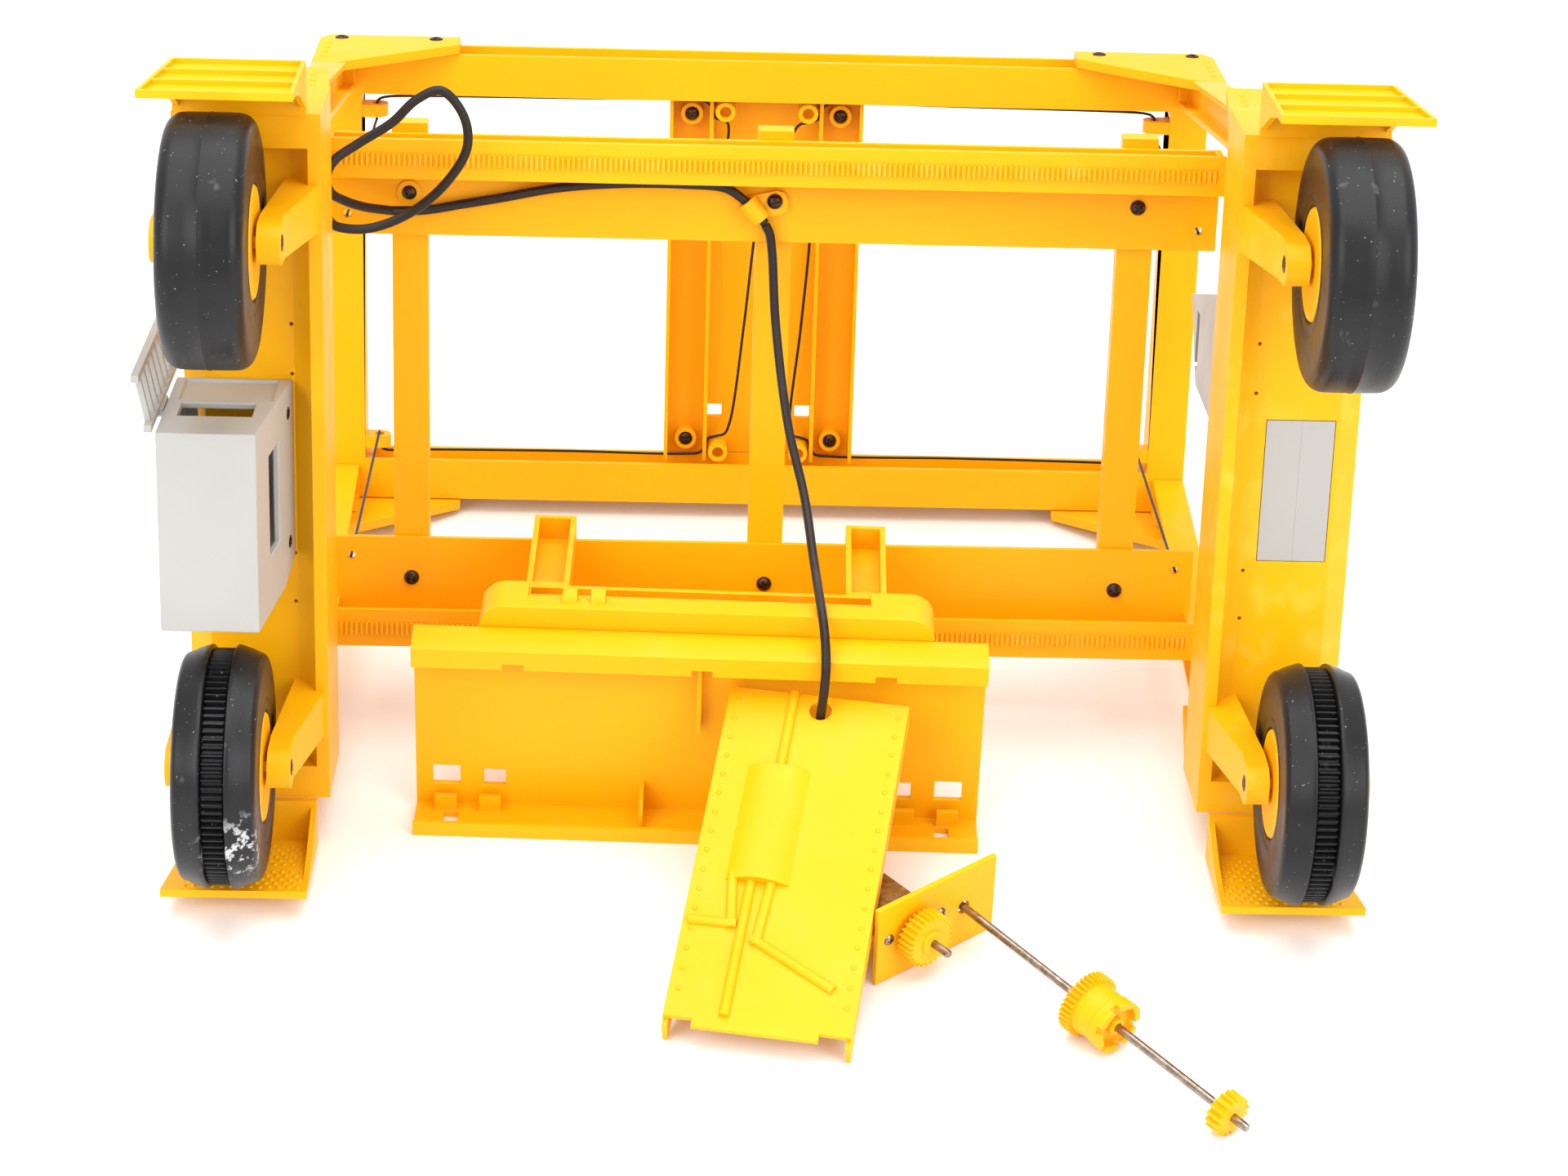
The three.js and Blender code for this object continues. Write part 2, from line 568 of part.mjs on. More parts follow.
function armFrameGeometry() {
  const arm = (x0, x1) => cut(block(x0, x1, 45, 96, 68, 79), block(x0 + 2, x1 - 2, 47, 94, 70.2, 80));
  const bar = cut(block(-64, 66, 38.6, 47, 68, 79), block(-62, 64, 40.6, 45, 70.2, 80));
  const feet = [block(-64, -48, 38.6, 47, 68, 72), block(52, 66, 38.6, 47, 68, 72)];
  return join(bar, arm(-64, -48.6), arm(51.4, 66), ...feet);
}

function buildTrolley() {
  const trolley = new THREE.Group();
  trolley.position.set(...TRAY_AT);
  trolley.rotation.z = TRAY_TURN;
  model.add(trolley);
  place(trolley, 'trolley_tray', trayGeometry(), YELLOW);
  place(trolley, 'trolley_carriage', carriageGeometry(), YELLOW);
  place(trolley, 'trolley_arm_frame', armFrameGeometry(), YELLOW);
}

// ---------- loose tank cover ----------
// it stands on its near tabs and reaches in under the tray's top lip
const COVER_NEAR = new THREE.Vector3(-4, -98, 11.5);
const COVER_FAR = new THREE.Vector3(18.6, 29, 60);
const COVER_HALF = 32;
const COVER_LENGTH = COVER_NEAR.distanceTo(COVER_FAR);

function coverGroup() {
  const along = COVER_FAR.clone().sub(COVER_NEAR).normalize();
  const across = new THREE.Vector3(along.y, -along.x, 0).normalize();
  const normal = new THREE.Vector3().crossVectors(across, along);
  const group = new THREE.Group();
  group.quaternion.setFromRotationMatrix(new THREE.Matrix4().makeBasis(across, along, normal));
  group.position.copy(COVER_NEAR);
  return group;
}

// a raised half-round pipe along the top of the cover
function coverPipe(x0, y0, x1, y1, radius = 1.9) {
  const length = Math.hypot(x1 - x0, y1 - y0);
  const pipe = rodX(radius, -radius, length + radius, 10);
  return pipe.rotateZ(Math.atan2(y1 - y0, x1 - x0)).translate(x0, y0, 0);
}

function coverWalls(thickness) {
  const pieces = [];
  for (const s of [-1, 1]) {
    const xs = [s * (COVER_HALF - thickness), s * COVER_HALF].sort((a, b) => a - b);
    pieces.push(block(...xs, 0, COVER_LENGTH, -10, -0.5));
    pieces.push(block(...xs, -3, 5, -10.8, -2.2));
  }
  return pieces;
}

// the tank's low curved back and the pipes that run from it
function coverReliefs() {
  return [
    rodY(20.2, 56.5, 104.5, 44).translate(-9.2, 0, -16.7),
    coverPipe(-9, 106, -9, 138),
    coverPipe(-17.8, 57, -15.4, 38.9),
    coverPipe(-15.4, 38.9, -28.1, 38.7),
    coverPipe(-11.4, 58, -11.6, 4.1),
    coverPipe(-4.4, 58, -5.7, 33),
    coverPipe(-5.7, 33, 21.5, 18.2),
  ];
}

function coverGeometry() {
  const thickness = 1.8;
  const sheet = block(-COVER_HALF, COVER_HALF, 0, COVER_LENGTH, -thickness, 0);
  const lip = block(-22, 21, -3, 1, -thickness, 0);
  const above = block(-COVER_HALF, COVER_HALF, -3, COVER_LENGTH, -1, 20);
  const raised = coverReliefs().map((piece) => overlap(piece, above));
  const hole = rodZ(4, -4, 6, 24).translate(1.1, 131.5, 0);
  return cut(join(sheet, lip, ...coverWalls(thickness), ...raised), hole);
}

// ---------- loose gear motor, its plate and the drive axle ----------
const DRIVE_AT = [34.6, -62.6, 0];
const DRIVE_TURN = Math.atan2(0.63, 0.776);
const PLATE_T = 2;
const MOTOR_X = 20.8;
const MOTOR_Z = 16.3;
const AXLE_X = 43.7;
const AXLE_HEIGHT = 15.7;
const AXLE_DROOP = Math.atan2(0.0615, 1);
const AXLE_ROD_R = 1.5;
const AXLE_BACK = -6;            // ends of the rod, along it from the plate
const AXLE_FRONT = 138.5;
const COMPOUND_GEAR_AT = 60;
const END_PINION_AT = 126;

function motorPlateGeometry() {
  const plate = block(3.7, 58.2, 0, PLATE_T, 0.3, 31.5);
  const shaftHole = rodY(4, -2, 5, 20).translate(MOTOR_X, 0, MOTOR_Z);
  const axleHole = rodY(2.6, -2, 5, 20).translate(AXLE_X, 0, AXLE_HEIGHT);
  return cut(plate, shaftHole, axleHole);
}

function gearMotorGeometry() {
  const back = PLATE_T + GAP;
  const can = overlap(rodY(10, back, 26, 24), block(-13, 13, 0, 30, -6.5, 6.5));
  const collar = rodY(3.2, 0.4, back + 1, 16);
  const tail = rodY(5.5, 25, 30, 16);
  return cut(join(can, collar, tail), rodY(1.5 + GAP, -1, 13, 12));
}

function motorGearGeometry() {
  const teeth = sweepY(gearShape(28, 8.6, 10), -9, -2);
  return join(teeth, rodY(1.5, -18, 12, 12));
}

function compoundGearGeometry() {
  const gear = sweepX(gearShape(36, 10.2, 11.5), 0, 5);
  const drum = rodX(9.5, 4.5, 18, 32);
  const notches = [0, 1, 2].map((i) => block(15, 19, -12, 12, -2, 2).rotateX((i * Math.PI) / 3));
  return cut(join(gear, drum), rodX(6, 13, 19, 24), ...notches, rodX(AXLE_ROD_R + GAP, -2, 20, 16));
}

function endPinionGeometry() {
  return cut(sweepX(gearShape(16, 6.2, 7.5), 0, 6), rodX(AXLE_ROD_R + GAP, -2, 8, 16));
}

function buildDrive() {
  const cover = coverGroup();
  model.add(cover);
  place(cover, 'tank_cover', coverGeometry(), YELLOW);

  const drive = new THREE.Group();
  drive.position.set(...DRIVE_AT);
  drive.rotation.z = DRIVE_TURN;
  model.add(drive);
  place(drive, 'motor_plate', motorPlateGeometry(), YELLOW);
  place(drive, 'gear_motor', gearMotorGeometry(), STEEL).position.set(MOTOR_X, 0, MOTOR_Z);
  place(drive, 'motor_gear', motorGearGeometry(), YELLOW).position.set(MOTOR_X, 0, MOTOR_Z);

  // the axle's own x runs out of the plate towards its pinion, drooping a little
  const axle = new THREE.Group();
  axle.position.set(AXLE_X, 0, AXLE_HEIGHT);
  axle.rotation.set(0, AXLE_DROOP, -Math.PI / 2, 'ZYX');
  drive.add(axle);
  place(axle, 'drive_axle', rodX(AXLE_ROD_R, AXLE_BACK, AXLE_FRONT, 16), STEEL);
  place(axle, 'compound_gear', compoundGearGeometry(), YELLOW).position.x = COMPOUND_GEAR_AT;
  place(axle, 'end_pinion', endPinionGeometry(), YELLOW).position.x = END_PINION_AT;
}

// ---------- cords ----------
// routes of the motor cable: the loop and the run in the chassis frame, the drop in the room's
const CABLE_LOOP = [
  [-158.2, 92.4, 76], [-158.2, 96, 75.4], [-155.6, 100, 71.2], [-144.9, 106, 68.8], [-130.7, 110, 73.4],
  [-117.6, 110, 84.7], [-109.8, 110, 98.3], [-111.3, 110, 110], [-119, 110, 118.4], [-127.6, 110, 114.9],
  [-136.2, 110, 106.5], [-147.6, 108, 99.4], [-156.6, 104, 93.4], [-158.8, 101.5, 88],
  [-157.6, 103.5, 82.5], [-154, 109, 78.4], [-147.3, 117, 73.8], [-138.4, 127, 69.8],
];
const CABLE_RUN = [
  [-137.9, 127.5, 69.6], [-126.3, 132.6, 68.7], [-113.1, 133.6, 70.9], [-99.9, 133.6, 73.4],
  [-77.8, 132.2, 78.2], [-55, 131, 80.6], [-33, 131, 80.8], [-18, 131.4, 79.6], [-12.2, 131.8, 76],
  [-7.5, 132, 71.5], [-3.4, 132, 66.6],
];
const CABLE_DROP = [
  [-3.2, 142.05, 189.4], [-1.7, 141.4, 186.4], [-0.6, 139.4, 180], [1.3, 128.5, 156.2],
  [6.4, 109, 125.6], [12.6, 89, 107], [15.6, 67, 95.8], [17.3, 52, 90.8], [18.4, 40.5, 88.4],
  [19.2, 33, 85.2], [19.7, 27, 81], [19.9, 23, 75.5], [19.6, 21.2, 69], [19.1, 21, 62],
  [18.7, 21.8, 56], [18.6, 22.4, 51],
];

// inside the channel, each cord comes from the drum side of the plate to its pulley boss
const HOIST_STARTS = {
  upper_left: [
    [-16.8, 291.3, 46], [-16.8, 288.6, 46.6], [-16.5, 285.4, 48.6], [-15.8, 284.2, 54], [-14.9, 284, 62],
    [-15.4, 284, 65.3],
  ],
  upper_right: [
    [5.5, 291.3, 42], [5.6, 288.6, 42.6], [6, 285.4, 44.6], [7.6, 284.2, 51], [10.8, 284, 61.5],
    [13.4, 284, 65.3],
  ],
  lower_left: [
    [-1.2, 291.3, 42], [-1.3, 288.6, 41.4], [-1.6, 285.4, 38.6], [-2.4, 284.2, 29], [-4, 284, 14],
    [-6.8, 284, -18], [-11.6, 284, -60], [-13.8, 284, -65.3],
  ],
  lower_right: [
    [19.4, 291.3, 29], [19.3, 288.6, 28.4], [19.1, 285.4, 26], [18.6, 284.2, 14], [16.2, 284, -20],
    [12.9, 284, -60], [14, 284, -65.3],
  ],
};

// then round the boss, along the far frame, through the eye and on through the lift beam
function hoistCordPoints(name, sx, sz) {
  const x = CORD_EYE_X;
  const route = [
    [17, 284, 66.2], [20.5, 284, 67.6], [21.7, 284, 71.2], [23.8, 284, 73.5], [30, 284, 74.2],
    [80, 284, 74], [145, 281.6, 73.9], [150.5, 280.4, 73.8],
    [153, 280, 73.2], [154.2, 280, 72], [x, 280, 70], [x, 280, 67.6], [x, 279.7, 66.1],
    [x, 278.6, 65.2], [x, 276.6, 65], [x, 271, 65.2], [x, 134.5, 65.8],
  ];
  return [...HOIST_STARTS[name], ...route.map((point) => [sx * point[0], point[1], sz * point[2]])];
}

function buildCords() {
  place(chassis, 'cable_loop', tube(CABLE_LOOP, CABLE_R, 8, 2), CABLE_SKIN);
  place(chassis, 'cable_run', tube(CABLE_RUN, CABLE_R, 8, 2), CABLE_SKIN);
  place(model, 'cable_drop', tube(CABLE_DROP, CABLE_R, 8, 2), CABLE_SKIN);
  for (const { name, sx, sz } of CORNERS) {
    place(chassis, `hoist_cord_${name}`, tube(hoistCordPoints(name, sx, sz), HOIST_CORD_R, 8, 1), CABLE_SKIN);
  }
}

// ---------- whole object ----------
buildSills();
buildWheels();
buildFenders();
buildLegs();
buildFarEnd();
buildCabinets();
buildLiftFrame();
buildTrolley();
buildDrive();
buildCords();

// the origin is the middle of the object's footprint, on the floor
model.updateMatrixWorld(true);
const extent = new THREE.Box3();
model.traverse((node) => {
  if (node.isMesh && !/^(cable_|hoist_cord)/.test(node.name)) extent.expandByObject(node, true);
});
const middle = extent.getCenter(new THREE.Vector3());
const group = new THREE.Group();
model.position.set(-middle.x, -middle.y, -extent.min.z);
group.add(model);
export default group;
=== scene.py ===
import json
import math

import bmesh
import bpy
from mathutils import Matrix, Vector


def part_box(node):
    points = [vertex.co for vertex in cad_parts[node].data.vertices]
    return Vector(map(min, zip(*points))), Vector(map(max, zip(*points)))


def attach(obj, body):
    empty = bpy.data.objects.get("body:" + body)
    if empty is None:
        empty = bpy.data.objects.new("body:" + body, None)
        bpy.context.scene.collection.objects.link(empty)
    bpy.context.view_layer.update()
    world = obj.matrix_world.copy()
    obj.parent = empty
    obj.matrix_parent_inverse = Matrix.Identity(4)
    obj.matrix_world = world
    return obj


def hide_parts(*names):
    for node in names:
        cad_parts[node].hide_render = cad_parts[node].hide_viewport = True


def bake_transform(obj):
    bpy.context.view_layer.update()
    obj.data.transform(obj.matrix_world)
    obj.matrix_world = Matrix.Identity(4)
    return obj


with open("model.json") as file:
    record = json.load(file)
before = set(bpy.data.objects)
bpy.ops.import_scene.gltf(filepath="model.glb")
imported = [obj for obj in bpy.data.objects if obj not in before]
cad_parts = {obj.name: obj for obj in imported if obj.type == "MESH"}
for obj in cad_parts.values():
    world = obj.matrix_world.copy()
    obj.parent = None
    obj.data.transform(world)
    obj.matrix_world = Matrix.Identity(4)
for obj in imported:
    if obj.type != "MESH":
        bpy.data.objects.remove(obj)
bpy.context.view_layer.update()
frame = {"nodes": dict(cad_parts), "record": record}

MM = 0.001
BODY = {n: body for body, nodes in frame["record"]["behaviour"]["bodies"].items() for n in nodes}
CORNERS = {"upper_left": (-1, 1), "upper_right": (1, 1), "lower_left": (-1, -1), "lower_right": (1, -1)}


# ---------- places: each matrix turns one part's own millimetres into the row frame ----------
def centre(node):
    """The middle of a CAD node's box, in metres."""
    low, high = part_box(node)
    return (low + high) / 2


def mirrored(sx=1, sy=1, sz=1):
    """A mirror for each axis given as -1."""
    return Matrix.Diagonal((sx, sy, sz, 1))


# CHASSIS is level with the four hubs: x to the right, y away from the camera, z up along the wheelbase.
# ROOM stands on the floor below its middle. TRAY, DRIVE, AXLE, MOTOR and COVER are the loose pieces' own.
RIGHT = Vector((1, 0, 0))
UP = (centre("hub_upper_left") - centre("hub_lower_left")).normalized()
AWAY = UP.cross(RIGHT)
MIDDLE = sum((centre("hub_" + name) for name in CORNERS), Vector()) / 4
CHASSIS = (Matrix.Translation(MIDDLE) @ Matrix((RIGHT, AWAY, UP)).transposed().to_4x4()
           @ Matrix.Scale(MM, 4))
ROOM = Matrix.Translation((MIDDLE.x, MIDDLE.y, 0)) @ Matrix.Scale(MM, 4)
TRAY = ROOM @ Matrix.Translation((-24.6, 21.5, 0)) @ Matrix.Rotation(math.radians(-1.7), 4, "Z")
DRIVE = ROOM @ Matrix.Translation((34.6, -62.6, 0)) @ Matrix.Rotation(math.atan2(0.63, 0.776), 4, "Z")
AXLE = (DRIVE @ Matrix.Translation((43.7, 0, 15.7)) @ Matrix.Rotation(-math.pi / 2, 4, "Z")
        @ Matrix.Rotation(math.atan2(0.0615, 1), 4, "Y"))
MOTOR = DRIVE @ Matrix.Translation((20.8, 0, 16.3)) @ Matrix.Rotation(-math.pi / 2, 4, "Z")

COVER_NEAR = Vector((-4, -98, 11.5))
COVER_FAR = Vector((18.6, 29, 60))
along = (COVER_FAR - COVER_NEAR).normalized()
across = Vector((along.y, -along.x, 0)).normalized()
COVER = (ROOM @ Matrix.Translation(COVER_NEAR)
         @ Matrix((across, along, across.cross(along))).transposed().to_4x4())

# in CHASSIS millimetres: half the wheelbase, a tyre's middle plane, and a fork arm's inner face
WHEEL_HALF = 93.3
TYRE_X = 187.25
FORK_FACE_X = 164.3
# turn a shape drawn along c: (a, b, c) becomes (c, a, b), or (a, c, b)
ALONG_X = Matrix(((0, 0, 1, 0), (1, 0, 0, 0), (0, 1, 0, 0), (0, 0, 0, 1)))
ALONG_Y = Matrix(((1, 0, 0, 0), (0, 0, 1, 0), (0, 1, 0, 0), (0, 0, 0, 1)))


def linked(name, data):
    """A new object in the scene."""
    made = bpy.data.objects.new(name, data)
    bpy.context.scene.collection.objects.link(made)
    return made


# ---------- camera: its place and turn in CHASSIS millimetres, and its lens ----------
CAMERA_AT = Vector((-39.1, -1232.2, 446.5))
PITCH, YAW, ROLL = (math.radians(a) for a in (20.89, 1.957, 1.755))
LENS = 89.475


def make_camera():
    look = Vector((math.sin(YAW) * math.cos(PITCH), math.cos(YAW) * math.cos(PITCH), -math.sin(PITCH)))
    side = Vector((math.cos(YAW), -math.sin(YAW), 0))
    over = side.cross(look)
    right = math.cos(ROLL) * side + math.sin(ROLL) * over
    up = math.cos(ROLL) * over - math.sin(ROLL) * side
    turn = CHASSIS.to_3x3().normalized() @ Matrix((right, up, -look)).transposed()
    camera = linked("camera", bpy.data.cameras.new("camera"))
    camera.data.lens = LENS
    camera.data.clip_end = 20
    camera.matrix_world = Matrix.Translation(CHASSIS @ CAMERA_AT) @ turn.to_4x4()
    bpy.context.scene.camera = camera


make_camera()


# ---------- materials ----------
class Shader:
    """A material's node tree, with short ways to add to it."""

    def __init__(self, name, **constants):
        self.material = bpy.data.materials.new(name)
        self.material.use_nodes = True
        self.tree = self.material.node_tree
        self.surface = self.tree.nodes["Principled BSDF"]
        for socket, value in constants.items():
            self.surface.inputs[socket.replace("_", " ")].default_value = value
        self.place = self.add("ShaderNodeTexCoord").outputs["Object"]

    def add(self, kind, links=(), **settings):
        node = self.tree.nodes.new(kind)
        for name, value in settings.items():
            if hasattr(node, name):
                setattr(node, name, value)
            else:
                node.inputs[name.replace("_", " ")].default_value = value
        for socket, source in dict(links).items():
            self.tree.links.new(source, node.inputs[socket])
        return node

    def noise(self, scale, detail=4.0, stretch=(1, 1, 1), roughness=0.55):
        where = self.add("ShaderNodeMapping", {"Vector": self.place})
        where.inputs["Scale"].default_value = stretch
        where = where.outputs["Vector"]
        return self.add("ShaderNodeTexNoise", {"Vector": where}, Scale=scale, Detail=detail,
                        Roughness=roughness).outputs["Fac"]

    def ramp(self, source, low, high, a=0.0, b=1.0):
        node = self.add("ShaderNodeMapRange", {"Value": source})
        for name, value in (("From Min", low), ("From Max", high), ("To Min", a), ("To Max", b)):
            node.inputs[name].default_value = value
        return node.outputs["Result"]

    def sum(self, a, b, operation="ADD"):
        node = self.add("ShaderNodeMath", operation=operation)
        for i, value in enumerate((a, b)):
            if isinstance(value, (int, float)):
                node.inputs[i].default_value = value
            else:
                self.tree.links.new(value, node.inputs[i])
        return node.outputs[0]

    def mix(self, factor, a, b):
        node = self.add("ShaderNodeMix", data_type="RGBA")
        self.tree.links.new(factor, node.inputs["Factor"])
        for socket, value in ((6, a), (7, b)):
            if isinstance(value, tuple):
                node.inputs[socket].default_value = (*value, 1)
            else:
                self.tree.links.new(value, node.inputs[socket])
        return node.outputs[2]

    def set(self, socket, source):
        self.tree.links.new(source, self.surface.inputs[socket])

    def bump(self, height, distance, strength=1.0):
        node = self.add("ShaderNodeBump", {"Height": height}, Strength=strength, Distance=distance)
        self.set("Normal", node.outputs["Normal"])

    def upward(self):
        normal = self.add("ShaderNodeNewGeometry").outputs["Normal"]
        return self.add("ShaderNodeSeparateXYZ", {"Vector": normal}).outputs["Z"]

    def edges(self, low=0.52, high=0.6):
        return self.ramp(self.add("ShaderNodeNewGeometry").outputs["Pointiness"], low, high)


def plastic(name, light, dark, worn, roughness, grain=0.00002, dust=0.1, **constants):
    """Moulded plastic: flow shading, pale rubbed edges, hairline scratches and dust on what faces up."""
    s = Shader(name, **constants)
    flow = s.ramp(s.noise(9, 3), 0.4, 0.6)
    colour = s.mix(flow, dark, light)
    scratch = s.ramp(s.noise(300, 2, (1, 0.06, 1)), 0.72, 0.8, 0, 0.3)
    rub = s.sum(s.edges(0.56, 0.66), s.ramp(s.noise(90, 5), 0.5, 0.7), "MULTIPLY")
    colour = s.mix(s.sum(s.sum(rub, 0.35, "MULTIPLY"), s.sum(scratch, 0.3, "MULTIPLY")), colour, worn)
    settled = s.sum(s.ramp(s.upward(), 0.3, 0.95), s.ramp(s.noise(34, 6), 0.5, 0.85, 0, dust), "MULTIPLY")
    s.set("Base Color", s.mix(settled, colour, (0.62, 0.58, 0.5)))
    rough = s.sum(s.ramp(s.noise(45, 5), 0.3, 0.7, roughness - 0.07, roughness + 0.09), scratch)
    s.set("Roughness", s.sum(rough, settled))
    s.bump(s.sum(s.noise(1400, 2), s.sum(s.noise(60, 2), 2.0, "MULTIPLY")), grain, 0.5)
    return s.material


def rubber(name, scuff_at=None):
    """Black rubber with fine dust specks, grey bloom and, on one tyre, torn pale scuffs."""
    s = Shader(name, Specular_IOR_Level=0.3)
    bloom = s.ramp(s.noise(18, 6, (1, 1, 1), 0.65), 0.45, 0.8)
    colour = s.mix(bloom, (0.006, 0.006, 0.007), (0.015, 0.015, 0.017))
    speck = s.ramp(s.noise(1100, 1), 0.745, 0.78, 0, 0.5)
    smear = s.ramp(s.noise(120, 6, (1, 1, 0.4)), 0.66, 0.76, 0, 0.12)
    pale = s.sum(speck, smear)
    if scuff_at is not None:
        near = s.add("ShaderNodeVectorMath", {0: s.place}, operation="DISTANCE")
        near.inputs[1].default_value = scuff_at
        patch = s.ramp(near.outputs["Value"], 0.017, 0.006)
        torn = s.ramp(s.noise(210, 5, (1, 1, 1), 0.7), 0.52, 0.56)
        pale = s.sum(pale, s.sum(patch, torn, "MULTIPLY"))
    pale_end = s.ramp(pale, 0, 1)
    s.set("Base Color", s.mix(pale_end, colour, (0.55, 0.56, 0.57)))
    s.set("Roughness", s.sum(s.ramp(s.noise(40, 4), 0.3, 0.7, 0.3, 0.44), s.sum(pale_end, 0.3, "MULTIPLY")))
    s.bump(s.sum(s.noise(700, 3), pale_end), 0.00003, 0.6)
    return s.material


def metal(name, light, dark, roughness, stain, stain_amount):
    """Metal with a fine grain and brown stains that dull it."""
    s = Shader(name, Metallic=1.0)
    grain = s.noise(420, 3)
    colour = s.mix(s.ramp(grain, 0.3, 0.7), dark, light)
    stains = s.ramp(s.noise(160, 6, (1, 1, 1), 0.7), 0.56, 0.72, 0, stain_amount)
    s.set("Base Color", s.mix(stains, colour, stain))
    s.set("Roughness", s.sum(s.ramp(grain, 0.2, 0.8, roughness - 0.06, roughness + 0.08), stains))
    s.bump(s.sum(grain, stains), 0.00002, 0.5)
    return s.material


SCUFFED_TREAD = CHASSIS @ Vector((-TYRE_X + 9, -38, -WHEEL_HALF - 15))
YELLOW = plastic("yellow_plastic", (0.93, 0.455, 0.002), (0.9, 0.425, 0.0015), (0.96, 0.6, 0.08), 0.4,
                 dust=0.05, Subsurface_Weight=0.08, Subsurface_Scale=0.004, IOR=1.45, Specular_IOR_Level=0.25)
GREY = plastic("grey_plastic", (0.43, 0.42, 0.395), (0.405, 0.395, 0.37), (0.55, 0.54, 0.51), 0.42, IOR=1.45)
TYRE = rubber("tyre_rubber")
SCUFFED_TYRE = rubber("scuffed_tyre_rubber", SCUFFED_TREAD)
CABLE = plastic("cable_sheath", (0.016, 0.009, 0.006), (0.009, 0.005, 0.004), (0.05, 0.036, 0.028), 0.42,
                grain=0.00003, dust=0.1, Specular_IOR_Level=0.35)
BLACK_STEEL = metal("screw_steel", (0.09, 0.06, 0.045), (0.035, 0.023, 0.017), 0.3, (0.08, 0.04, 0.018), 0.4)
STEEL = metal("bright_steel", (0.42, 0.36, 0.3), (0.2, 0.16, 0.125), 0.25, (0.12, 0.065, 0.035), 0.3)
NODE_MATERIAL = {"yellow_plastic": YELLOW, "grey_plastic": GREY, "tyre_rubber": TYRE,
                 "screw_steel": BLACK_STEEL, "bright_steel": STEEL, "cable_sheath": CABLE}
for part in frame["record"]["subparts"]:
    frame["nodes"][part["node"]].data.materials.clear()
    frame["nodes"][part["node"]].data.materials.append(NODE_MATERIAL[part["material_slot"]])


# ---------- mesh helpers: a shape is (points, faces) in millimetres ----------
def merged(*shapes):
    """Several shapes as one."""
    points, faces = [], []
    for p, f in shapes:
        base = len(points)
        points += [Vector(q) for q in p]
        faces += [[base + i for i in face] for face in f]
    return points, faces


def moved(shape, matrix):
    """A shape in another place, still facing out if the matrix mirrors it."""
    points, faces = shape
    flipped = matrix.to_3x3().determinant() < 0
    return [matrix @ Vector(p) for p in points], [face[::-1] if flipped else face for face in faces]


def box_shape(x0, x1, y0, y1, z0, z1):
    points = [(x, y, z) for x in (x0, x1) for y in (y0, y1) for z in (z0, z1)]
    return points, [[0, 1, 3, 2], [4, 6, 7, 5], [0, 4, 5, 1], [2, 3, 7, 6], [0, 2, 6, 4], [1, 5, 7, 3]]


def prism(outline, low, high):
    """An outline in (a, b) drawn out along c, as points (a, b, c)."""
    n = len(outline)
    points = [(*p, low) for p in outline] + [(*p, high) for p in outline]
    sides = [[i, (i + 1) % n, n + (i + 1) % n, n + i] for i in range(n)]
    return points, [list(range(n))[::-1], list(range(n, 2 * n)), *sides]


def turned(profile, segments=64):
    """A (radius, x) profile turned about X: from axis to axis, or else closed on itself."""
    solid = profile[0][0] == 0
    inner = profile[1:-1] if solid else profile
    points, faces, rows = [], [], len(inner)
    for i in range(segments):
        a = 2 * math.pi * i / segments
        points += [(x, r * math.cos(a), r * math.sin(a)) for r, x in inner]
    for i in range(segments):
        j = (i + 1) % segments
        for k in range(rows - 1 if solid else rows):
            m = (k + 1) % rows
            faces.append([i * rows + k, i * rows + m, j * rows + m, j * rows + k])
    if solid:
        faces.append([i * rows for i in range(segments)])
        faces.append([i * rows + rows - 1 for i in range(segments)][::-1])
    return points, faces


def toothed(teeth, root, tip, bore, x0, x1, chamfer=0.25):
    """A gear or toothed ring about X, with rounded-looking teeth and a bore."""
    shape = [(0.0, root), (0.16, root + (tip - root) * 0.6), (0.26, tip), (0.44, tip),
             (0.54, root + (tip - root) * 0.6), (0.7, root), (0.85, root)]
    points, faces = [], []
    for i in range(teeth):
        for part, r in shape:
            a = 2 * math.pi * (i + part) / teeth
            c, s = math.cos(a), math.sin(a)
            small = r - chamfer
            points += [(x0, bore * c, bore * s), (x0, small * c, small * s), (x0 + chamfer, r * c, r * s),
                       (x1 - chamfer, r * c, r * s), (x1, small * c, small * s), (x1, bore * c, bore * s)]
    count = teeth * len(shape)
    for i in range(count):
        j = (i + 1) % count
        faces += [[i * 6 + k, i * 6 + (k + 1) % 6, j * 6 + (k + 1) % 6, j * 6 + k] for k in range(6)]
    return points, faces


def dome(radius, height, rings=3, sides=12):
    """A rivet or bump standing up from z = 0, with its closed foot just under it."""
    foot, flat_top = -0.3, radius * 0.12
    profile = [(0, foot), (radius, foot)]
    profile += [(radius * math.cos(a), height * math.sin(a))
                for a in (math.pi / 2 * k / rings for k in range(rings))]
    shape = turned([*profile, (flat_top, height), (0, height)], sides)
    return moved(shape, Matrix.Rotation(-math.pi / 2, 4, "Y"))


def finished(mesh, angle=36, face_out=True):
    """Smooth shading, with edges sharper than the angle, in degrees, left sharp."""
    if face_out:
        bm = bmesh.new()
        bm.from_mesh(mesh)
        bmesh.ops.recalc_face_normals(bm, faces=bm.faces)
        bm.to_mesh(mesh)
        bm.free()
    mesh.shade_smooth()
    mesh.set_sharp_from_angle(angle=math.radians(angle))


def piece(name, shape, place, material, body, replaces=(), angle=36, edge=0):
    """A visible piece made from a shape, riding a body, or none if no body is given."""
    points, faces = shape
    mesh = bpy.data.meshes.new(name)
    mesh.from_pydata([place @ Vector(p) for p in points], [], faces)
    finished(mesh, angle)
    mesh.materials.append(material)
    made = linked(name, mesh)
    if edge:
        round_edges(made, edge)
    if body:
        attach(made, body)
    if replaces:
        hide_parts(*replaces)
    return made


